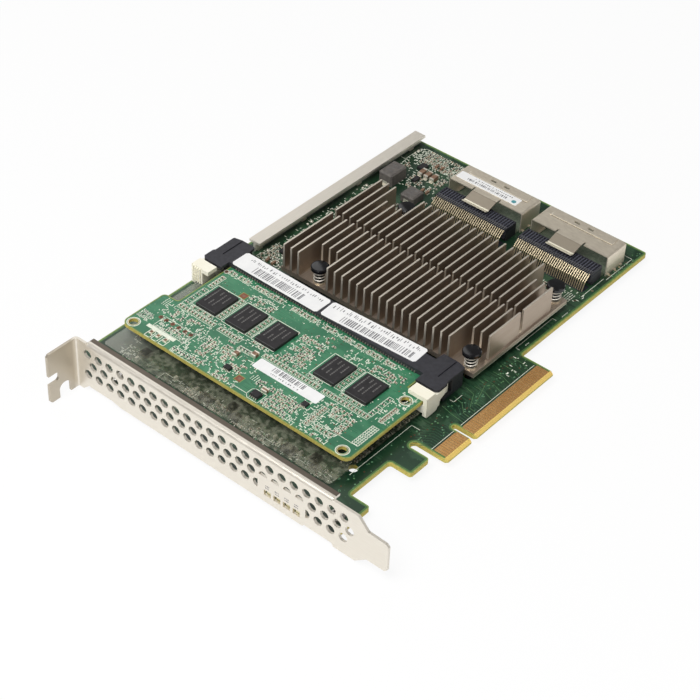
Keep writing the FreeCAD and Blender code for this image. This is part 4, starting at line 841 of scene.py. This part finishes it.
def chip_marks():
    """Faint plain rows on the memory packages and the power inductors."""
    batch = Batch("package_marks", "chip_black")
    for node in sorted(name for name in NODES if name.startswith("memory_chip_top")):
        (x0, _), (y0, y1), (_, z) = extent(node)
        middle = (y0 + y1) / 2
        for dx, dy, width in MEMORY_MARKS:
            marks(batch, x0 + dx, middle + dy, z, width, 1, "chip_mark", int(dx * 10 + dy * 10), 0.9)
        # painted highlight: lighter strip along each memory package's −X edge
        batch.block(x0 + 0.12, middle, z, (0.2, y1 - y0 - 0.2, PRINT_T), "chip_edge_highlight")
    for node in ("inductor_large", "inductor_small"):
        (x0, x1), (y0, y1), (_, z) = extent(node)
        for along, across in INDUCTOR_MARKS:
            size = (0.5, (y1 - y0) * across, PRINT_T)
            batch.block(x0 + (x1 - x0) * along, (y0 + y1) / 2, z, size, "chip_mark")
    batch.build()


# ---- labels
LABELS = (  # node, turn in degrees, bars' x and y, words' x and y from its middle
    ("socket_label_upper", -0.6, ((-2.9, 0.3), (-9.8, 10)), ((1.2, 2.6), (-15.5, 14.5))),
    ("socket_label_lower", 3, ((-2.9, 0), (-15.5, 11.5)), ((1, 3), (-16, 16.5))),
    ("module_label", 0, ((-0.2, 1.8), (-5.6, 6.6)), ((-1.6, -0.8), (-4.6, 6))),
    ("cage_label", 0, ((-1.1, 0), (-7.5, 8.5)), ((0.5, 1.3), (-9, 7))))
EMBOSS_X = (96.15, 97.6)       # pressed outline on top of the cages, drawn in painted highlight
EMBOSS_HALF = 12.1
EMBOSS_T = 0.02


def label_prints():
    """Plain bars on the labels, and the pressed outline of the cages as lines of painted highlight with a
    strip of painted shade.
    """
    batch = Batch("label_print", "label_white")
    for node, turn, bars, words in LABELS:
        (x0, x1), (y0, y1), (_, top) = extent(node)
        c, s = math.cos(math.radians(turn)), math.sin(math.radians(turn))
        rng = random.Random(len(node))

        def patch(x, y, width, length):
            """Printed patch at a place of the label's own frame."""
            batch.block((x0 + x1) / 2 + x * c - y * s, (y0 + y1) / 2 + x * s + y * c, top,
                        (width, length, PRINT_T), "ink", math.radians(turn))

        (left, right), (y, end) = bars
        while y < end:
            thick = rng.choice((0.22, 0.22, 0.45))
            patch((left + right) / 2, y, right - left, thick)
            y += thick + rng.choice((0.25, 0.3, 0.3, 0.6))
        (left, right), (y, end) = words
        while y < end:
            run = rng.uniform(0.3, 0.7)
            for _ in range(rng.choice((1, 2, 2))):
                x = rng.uniform(left + 0.3, right - 0.3)
                patch(x, y, rng.uniform(0.4, (right - left) * 0.7), run * 0.5)
            y += run + rng.choice((0.25, 0.3, 0.9))
    for which in ("lower", "upper"):
        _, (y0, y1), (_, top) = extent("sas_cage_" + which)
        middle = (y0 + y1) / 2
        z = top - 0.01
        for y in (middle - EMBOSS_HALF, middle + EMBOSS_HALF):
            # painted highlight: bright lines for the pressed outline's ridge
            batch.line([(EMBOSS_X[0], y), (EMBOSS_X[1], y)], 0.16, z, "emboss_highlight", EMBOSS_T)
        across = [(EMBOSS_X[0], middle - EMBOSS_HALF), (EMBOSS_X[0], middle + EMBOSS_HALF)]
        batch.line(across, 0.22, z, "emboss_highlight", EMBOSS_T)
        # painted shade: dark strip beside the pressed outline
        batch.block(EMBOSS_X[0] - 0.3, middle, z - 0.19, (0.3, 24.0, EMBOSS_T), "cage_shade")
    (x0, _), (y0, _), (_, top) = extent("cage_label")
    batch.disc(x0 + 1.4, y0 + 1.7, top, 0.85, PRINT_T, "teal")
    batch.build()


# ---- main board
RAIL_FEET_X = (24.4, 46, 74.4, 102.8)
BOARD_PITCH = 1.4
BOARD_CLUSTERS = [  # x0, x1, y0, y1, share of places filled
    (98.4, 107, 84.6, 100, 0.75), (86.4, 97.6, 84.6, 88.4, 0.6), (84.4, 91.4, 90.6, 96.4, 0.5),
    (92, 97.6, 99.8, 103.4, 0.6), (20.6, 31, 95, 105, 0.55), (34, 50, 94.6, 104, 0.35),
    (54, 78, 94.6, 103, 0.3), (68.6, 75, 20, 92, 0.35), (14.2, 17.4, 30, 100, 0.3),
    (78.6, 87, 80.4, 83.4, 0.4),
]
FILM_CLUSTERS = [  # the same, under the film
    (-43, -37.6, 60, 77, 0.75), (-43, -37.6, 44, 58, 0.4), (-43, -37.6, 22, 42, 0.18),
    (-36, -4, 100, 104.5, 0.4), (-34, -4, 18.6, 24, 0.6),
]
BOARD_DASHES = [  # x0, x1, y0, y1, strokes
    (98.4, 106.6, 84, 104, 260), (84, 98, 84, 104, 130), (20.6, 31, 94, 105, 120),
    (34, 76, 94, 105, 160), (67, 77, 14, 34, 60), (-43, -37.4, 18.6, 82, 120),
    (-43, -37.4, 98, 103.5, 36), (-36, -6, 100, 104.5, 80), (28, 38, 8, 13, 12),
]
UNDER_FILM_SPOTS = (  # tinned blocks
    (-41.5, 96.3), (-40, 81.5), (-39.3, 73.5), (-39.5, 65), (-38.6, 53.8), (-42, 48.5),
    (-39, 42.5), (-39, 40.4), (-39, 32.7))
UNDER_FILM_CHIPS = (  # x, y, length, width
    (-40.3, 68.6, 3.2, 4.4), (-40.4, 57, 2.8, 3.4), (-40.2, 36.2, 3.4, 4.6), (-40.6, 26, 2.4, 3))
BOARD_LINES = (
    [(-50, 99), (-44.5, 99), (-44.5, 88)], [(-47, 86), (-40, 86), (-40, 78)],
    [(-49, 84), (-49, 60), (-46, 57)], [(-45.5, 76), (-45.5, 52)],
    [(-50, 50), (-44, 50), (-44, 30)], [(-48.5, 46), (-48.5, 20)],
    [(-41, 47), (-41, 22)], [(-36, 17), (-8, 17), (-8, 14)],
    [(-30, 108.4), (-18, 108.4)], [(-12, 101.6), (-12, 106.6)],
    [(1.8, 6.4), (38.2, 6.4)], [(-12, 6.4), (-1.6, 6.4)], [(8.4, 15.6), (8.4, 14.2), (12.4, 14.2)],
    [(41, 14), (41, 15.4), (60.4, 15.4), (60.4, 14)], [(88.4, 14.1), (103.2, 14.1), (103.2, 20)],
    [(75.6, 15), (88, 15)], [(75.2, 50), (75.2, 46.4), (77, 46.4)],
    [(97, 106.2), (97, 104.4), (104.6, 104.4)], [(104.6, 104.4), (106.8, 102.4), (106.8, 98)],
    [(-53, 12.8), (-49.2, 12.8)])
BOARD_MARKS = (  # x, y, width, rows
    (44, 13.9, 2, 1), (70.6, 19.2, 4, 4), (103.2, 96, 3, 4),
    (100, 101.8, 3.6, 2), (63, 13.6, 3, 1), (24, 104.2, 5, 2))
TEST_POINTS = (  # x, y, radius
    (80.5, 14.2, 0.45), (91, 14.8, 0.4), (94.5, 14.8, 0.4), (96.8, 14.8, 0.4), (103.5, 99, 0.7))
FOOT_JOINTS = ((-0.9, 0.5), (1.1, 0.65))       # solder cones at a rail foot: x and radius
VIA_FIELDS = (  # x0, x1, y0, y1, vias
    (-12, 17.5, 7.2, 14.5, 60), (19, 39, 7.2, 14, 45), (28, 70, 93, 104, 120),
    (66.9, 76, 13, 95, 120), (88, 109, 12.8, 15.2, 30), (-44, -14, 12.6, 17.2, 20),
    (-43.8, -37.2, 18, 108, 160))
LINE_W = 0.16


def board_details():
    parts = Batch("board_small_parts", "ceramic_tan")
    print_ = Batch("board_print", "label_white")
    metal = Batch("board_metal", "gold_contact")
    for seed, (x0, x1, y0, y1, count) in enumerate(BOARD_DASHES):
        dashes(print_, x0, x1, y0, y1, 0, count, 80 + seed)
    # painted light: a paler green-grey patch on the board under each cage, where the board lies in the
    # cage's shade
    for which in ("lower", "upper"):
        (x0, x1), (y0, y1), _ = extent("sas_cage_" + which)
        size = (x1 - x0 - 4.0, y1 - y0 - 3.0, PRINT_T)
        metal.block((x0 + x1) / 2, (y0 + y1) / 2, 0, size, "ground")
    ground = Ground(0.0, "main_board")
    for x, y in UNDER_FILM_SPOTS:
        if ground.claim(x, y, 0.7, 0.5):
            metal.block(x, y, 0, (1.4, 0.9, 1.15), "solder", shrink=0.15)
    for x, y, length, width in UNDER_FILM_CHIPS:
        if ground.claim(x, y, length / 2, width / 2):
            parts.block(x, y, 0, (length, width, 1.1), "epoxy", shrink=0.04)
    for seed, field in enumerate(BOARD_CLUSTERS + FILM_CLUSTERS):
        scatter(parts, print_, ground, *field, 50 + seed, BOARD_PITCH)
    for corners in BOARD_LINES:
        print_.line(corners, LINE_W, 0)
    for x, y, width, rows in BOARD_MARKS:
        marks(print_, x, y, 0, width, rows, "silk", rows + 3)
    for x, y, radius in TEST_POINTS:
        metal.disc(x, y, 0, radius, PRINT_T * 2, "wire")
    foot_y = extent("stiffener_rail")[1][0] - 0.5
    for x in RAIL_FEET_X:
        for dx, r in FOOT_JOINTS:
            cone = [(r, 0.0), (r * 0.85, 0.25), (r * 0.45, 0.42), (0.1, 0.46)]
            metal.lathe(x + dx, foot_y, cone, "solder", 12)
    rng = random.Random(3)
    for x0, x1, y0, y1, count in VIA_FIELDS:
        # some of these dots are holes with painted shade
        dots(metal, x0, x1, y0, y1, 0, (0.2, 0.25, 0.3), PRINT_T,
             ("via", "via", "via", "track_tan", "hole_shade"), count, rng)
    for batch in (parts, print_, metal):
        batch.build()


TRACK_FAMILIES = (  # tracks, width, every so many in tan, corners as x, step in x, y, step in y
    (12, 0.16, 3, ((3.2, 1, 6.7, 0), (3.5, 1, 9, 0), (3.9, 1.9, 12, 0), (4.7, 1.9, 15.6, 0))),
    (9, 0.14, 2, ((17, 2.3, 6.7, 0), (18.2, 2.3, 10, 0), (18.2, 2.3, 13.9, 0))),
    (9, 0.14, 0, ((-11.5, 1, 6.7, 0), (-11.5, 1, 8, 0.4), (-14.5, 1.1, 12, 0.3))),
    (16, 0.16, 0, ((66.9, 0, 20, 4.4), (71, 0, 20, 4.4), (74, 0, 22.4, 4.4), (77.5, 0, 22.4, 4.4))),
    (18, 0.16, 0, ((28, 2.6, 92.4, 0), (28, 2.6, 96, 0), (30.4, 2.6, 98.6, 0), (30.4, 2.6, 104, 0))))


def board_tracks():
    """Tracks fanning out from the contacts and from the controller, in even families."""
    tracks = Batch("board_tracks", "board_green")
    for count, width, tan, corners in TRACK_FAMILIES:
        for i in range(count):
            path = [(x + dx * i, y + dy * i) for x, dx, y, dy in corners]
            tracks.line(path, width, 0, "track_tan" if tan and i % tan == 0 else "track", PRINT_T * 0.6)
    tracks.build()


# ---- cable sockets
COMB_X = 1.7                   # comb over the leads, along X
COMB_TEETH = 37
LEAD_PITCH = 0.8
POCKET_DEPTH = 0.7
POCKET_COLUMNS, POCKET_ROWS = 4, 27
POCKETS_HALF = 14.4
LEDGE_X, LEDGE_Z = 1.2, 1.6    # undercut above the leads
PLUG_SLOT_Z = (2.3, 3.7)
PLUG_SLOT_X = 5.0              # its depth
PLUG_SLOT_HALF = 11.2


def housing(which):
    """Moulded body with its comb, its grid of open pockets and the slot for the plug's tongue; the comb and
    grid walls are painted lighter as painted highlight, the pocket floors darker as painted shade, and a
    painted shadow lies on the board under the leads.
    """
    node = "sas_housing_" + which
    (x0, x1), (y0, y1), (z0, z1) = extent(node)
    middle = (y0 + y1) / 2
    batch = Batch("cable_housing_" + which, "socket_black")
    floor = z1 - POCKET_DEPTH
    pocket_x = (x0 + COMB_X, x1 - 0.4)

    def slab(xa, xb, ya, yb, za, zb, stuff="socket"):
        batch.prism([(xa, ya), (xb, ya), (xb, yb), (xa, yb)], za, zb, stuff)

    slab(x0 + LEDGE_X, x1, y0, y1, z0, LEDGE_Z)
    slab(x0, x1, y0, y1, LEDGE_Z, PLUG_SLOT_Z[0])
    slab(x0, x1 - PLUG_SLOT_X, y0, y1, *PLUG_SLOT_Z)
    for low, high in ((y0, middle - PLUG_SLOT_HALF), (middle + PLUG_SLOT_HALF, y1)):
        slab(x1 - PLUG_SLOT_X, x1, low, high, *PLUG_SLOT_Z)
    # painted shade: the pockets' floor is a darker copy of the black plastic
    slab(x0, x1, y0, y1, PLUG_SLOT_Z[1], floor, "painted_shade_black")
    slab(pocket_x[1], x1, y0, y1, floor, z1)
    for low, high in ((y0, middle - POCKETS_HALF), (middle + POCKETS_HALF, y1)):
        slab(x0, pocket_x[1], low, high, floor, z1)
    # painted shadow on the board under the leads
    batch.block(x0 - 2.0, middle, 0, (4.0, 29.2, PRINT_T), "painted_shade_black")
    # painted highlight: the comb teeth and grid walls are lighter copies of the black plastic
    for k in range(COMB_TEETH):
        y = middle + (k - (COMB_TEETH - 1) / 2) * LEAD_PITCH
        batch.block((x0 + pocket_x[0]) / 2, y, floor, (COMB_X, 0.36, POCKET_DEPTH), "comb")
    for k in range(POCKET_ROWS + 1):
        y = middle + (k / POCKET_ROWS - 0.5) * POCKETS_HALF * 2
        wall = (pocket_x[1] - pocket_x[0], 0.3, POCKET_DEPTH * 0.9)
        batch.block((pocket_x[0] + pocket_x[1]) / 2, y, floor, wall, "grid")
    for k in range(POCKET_COLUMNS):
        x = pocket_x[0] + (pocket_x[1] - pocket_x[0]) * k / POCKET_COLUMNS
        wall = (0.22, POCKETS_HALF * 2, POCKET_DEPTH * 0.8)
        batch.block(x, middle, floor, wall, "socket" if k else "comb")
    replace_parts(batch.build(), node)


# ---- push pins and springs
CAP_R = 3.0
PIN_PROFILE = [  # radius and height of barb, shank and cap
    (2.05, -2.15), (2.1, -1.75), (1.95, -1.62), (1.2, -1.62), (1.2, 4.0), (1.5, 4.1), (1.5, 8.4), (2.3, 8.5),
    (2.85, 8.7), (CAP_R, 8.9), (CAP_R, 9.8), (2.72, 10.14), (2.6, 10.17), (0.3, 10.19)]
SLEEVE_R = (1.55, 2.15)        # bore and outside
COLLAR_H = 0.5                 # of the sleeve seen below the spring
SPRING_TURNS, SPRING_WIRE, SPRING_R = 3, 0.2, 1.9
SPRING_STEPS = 32              # in each turn


def pins_and_springs():
    caps = Batch("push_pin_set", "pin_plastic", smooth=True)
    coils = Batch("spring_set", "fixing_steel", smooth=True)
    (x0, x1), (y0, y1), (tip, _) = extent("push_pins")
    head = extent("pin_springs")[2][1]
    foot = extent("pin_sleeves")[2][0]
    collar = foot + COLLAR_H
    low, high = collar + SPRING_WIRE, head - SPRING_WIRE
    edge = CAP_R + 0.02
    steps = SPRING_STEPS * SPRING_TURNS
    for x in (x0 + edge, x1 - edge):
        for y in (y0 + edge, y1 - edge):
            caps.lathe(x, y, [(0.5, tip), (0.9, tip + 0.1)] + PIN_PROFILE, "nylon", 40)
            inner, outer = SLEEVE_R
            sleeve = [(inner, foot), (outer, foot), (outer, collar), (inner, collar)]
            coils.lathe(x, y, sleeve, "sleeve", 32, closed=True)
            path = []
            for k in range(steps + 1):
                turn = 2 * math.pi * k / SPRING_STEPS
                path.append((x + SPRING_R * math.cos(turn), y + SPRING_R * math.sin(turn),
                             low + (high - low) * k / steps))
            coils.tube(path, SPRING_WIRE, "spring", 10)
    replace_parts(caps.build(), "push_pins")
    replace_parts(coils.build(), "pin_springs", "pin_sleeves")


# ---- finishes of the frame's nodes
FINISH = {  # stuff, and how the names of its nodes start
    "mask": ("main_board",), "module_mask": ("cache_board",), "film": ("insulating_film",),
    "gold": ("edge_contacts",), "contact": ("socket_contacts",), "wire": ("sas_leads",),
    "bracket": ("slot_bracket",), "rail": ("stiffener_rail",), "cage": ("sas_cage",), "sink": ("heatsink",),
    "fixing": ("bracket_screws", "pin_s", "latch_pins"), "nylon": ("push_pins",),
    "ivory": ("latch_left", "latch_right"), "socket": ("module_socket", "sas_housing"),
    "pad": ("thermal_pad",), "lens": ("status_leds",), "ferrite": ("inductor",),
    "epoxy": ("controller_chip", "board_chips", "film_support_chips", "module_chips", "memory_chip"),
    "ceramic": ("ceramic_capacitors", "board_passives", "module_capacitors"),
    "paper": ("socket_label", "module_label", "cage_label"),
}


def dress_nodes():
    for name, node in NODES.items():
        stuff = next(stuff for stuff, starts in FINISH.items() if name.startswith(starts))
        node.data.materials.clear()
        node.data.materials.append(MATERIALS[stuff])


# ---- camera and studio
CAMERA_AT = (-333.13, -217.29, 367.73)
CAMERA_AZIMUTH, CAMERA_ELEVATION, CAMERA_ROLL = -51.5, 40.35, 2.8
CAMERA_LENS = 95.74


def add_camera():
    azimuth, elevation, roll = (math.radians(v) for v in (CAMERA_AZIMUTH, CAMERA_ELEVATION, CAMERA_ROLL))
    data = bpy.data.cameras.new("camera")
    data.lens, data.sensor_width = CAMERA_LENS, 36
    data.clip_start, data.clip_end = 0.01, 20
    camera = bpy.data.objects.new("camera", data)
    tilt = Matrix.Rotation(math.pi / 2 - elevation, 4, "X") @ Matrix.Rotation(roll, 4, "Z")
    camera.matrix_world = Matrix.Translation(place(*CAMERA_AT)) @ Matrix.Rotation(azimuth, 4, "Z") @ tilt
    bpy.context.scene.collection.objects.link(camera)
    bpy.context.scene.camera = camera


LAMPS = (  # name, place in metres, size in metres, watts
    ("key", (-0.47, 0.0, 0.79), 0.5, 6.7), ("front", (-0.95, -0.15, 0.22), 0.5, 2.3),
    ("fill", (0.15, -0.75, 0.45), 0.6, 0.9), ("back", (0.35, 0.65, 0.7), 0.6, 1.3))
SKY = (1.0, 0.98, 0.95, 1)
SKY_STRENGTH = 0.19
FLOOR_SIZE, FLOOR_DROP = 6, 0.0001     # metres
FLOOR_GLOW = 0.90              # share of plain white that the camera sees in the floor


def add_studio():
    scene = bpy.context.scene
    scene.view_settings.view_transform = "Standard"
    scene.world = bpy.data.worlds.new("studio")
    scene.world.use_nodes = True
    tree = scene.world.node_tree
    sky = tree.nodes["Background"]
    sky.inputs["Color"].default_value = SKY
    sky.inputs["Strength"].default_value = SKY_STRENGTH
    white = add_node(tree, "ShaderNodeBackground", {"Color": (1, 1, 1, 1), "Strength": 1.0})
    seen = add_node(tree, "ShaderNodeLightPath", {}).outputs["Is Camera Ray"]
    mix = add_node(tree, "ShaderNodeMixShader", {"Fac": seen, 1: sky.outputs[0], 2: white.outputs[0]})
    tree.links.new(mix.outputs[0], tree.nodes["World Output"].inputs["Surface"])
    for name, at, size, watts in LAMPS:
        data = bpy.data.lights.new(name, "AREA")
        data.size, data.energy = size, watts
        lamp = bpy.data.objects.new(name, data)
        lamp.location = at
        lamp.rotation_euler = (Vector((0, 0, 0)) - Vector(at)).to_track_quat("-Z", "Y").to_euler()
        scene.collection.objects.link(lamp)


def add_floor():
    """Pale floor that shows white to the camera and keeps the card's shadow."""
    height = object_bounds()[0][2] - FLOOR_DROP
    bpy.ops.mesh.primitive_plane_add(size=FLOOR_SIZE, location=(0, 0, height))
    floor = bpy.context.object
    floor.name = "floor"
    shader = Shader("floor_paper", 0.9)
    shader.colour(shader.mix(shader.noise(0.02, 2.0), (0.92, 0.92, 0.92), (0.94, 0.94, 0.94)))
    glow = shader.node("ShaderNodeEmission", Strength=1.0)
    light = shader.node("ShaderNodeLightPath")
    seen = shader.maths("MAXIMUM", light.outputs["Is Camera Ray"], light.outputs["Is Glossy Ray"])
    inputs = {"Fac": shader.both(seen, FLOOR_GLOW), 1: shader.surface.outputs["BSDF"], 2: glow.outputs[0]}
    mix = add_node(shader.tree, "ShaderNodeMixShader", inputs)
    shader.tree.links.new(mix.outputs[0], shader.tree.nodes["Material Output"].inputs["Surface"])
    floor.data.materials.append(shader.material)


add_camera()
add_studio()
add_floor()
dress_nodes()
rim("main_board", 0.0, "board_rim", (0.35, 0.9))
rim("cache_board", MODULE_TOP, "module_rim", (0.3, 0.55))
module_details()
module_chip_bodies()
power_part_ends()
chip_marks()
label_prints()
board_details()
board_tracks()
housing("lower")
housing("upper")
pins_and_springs()
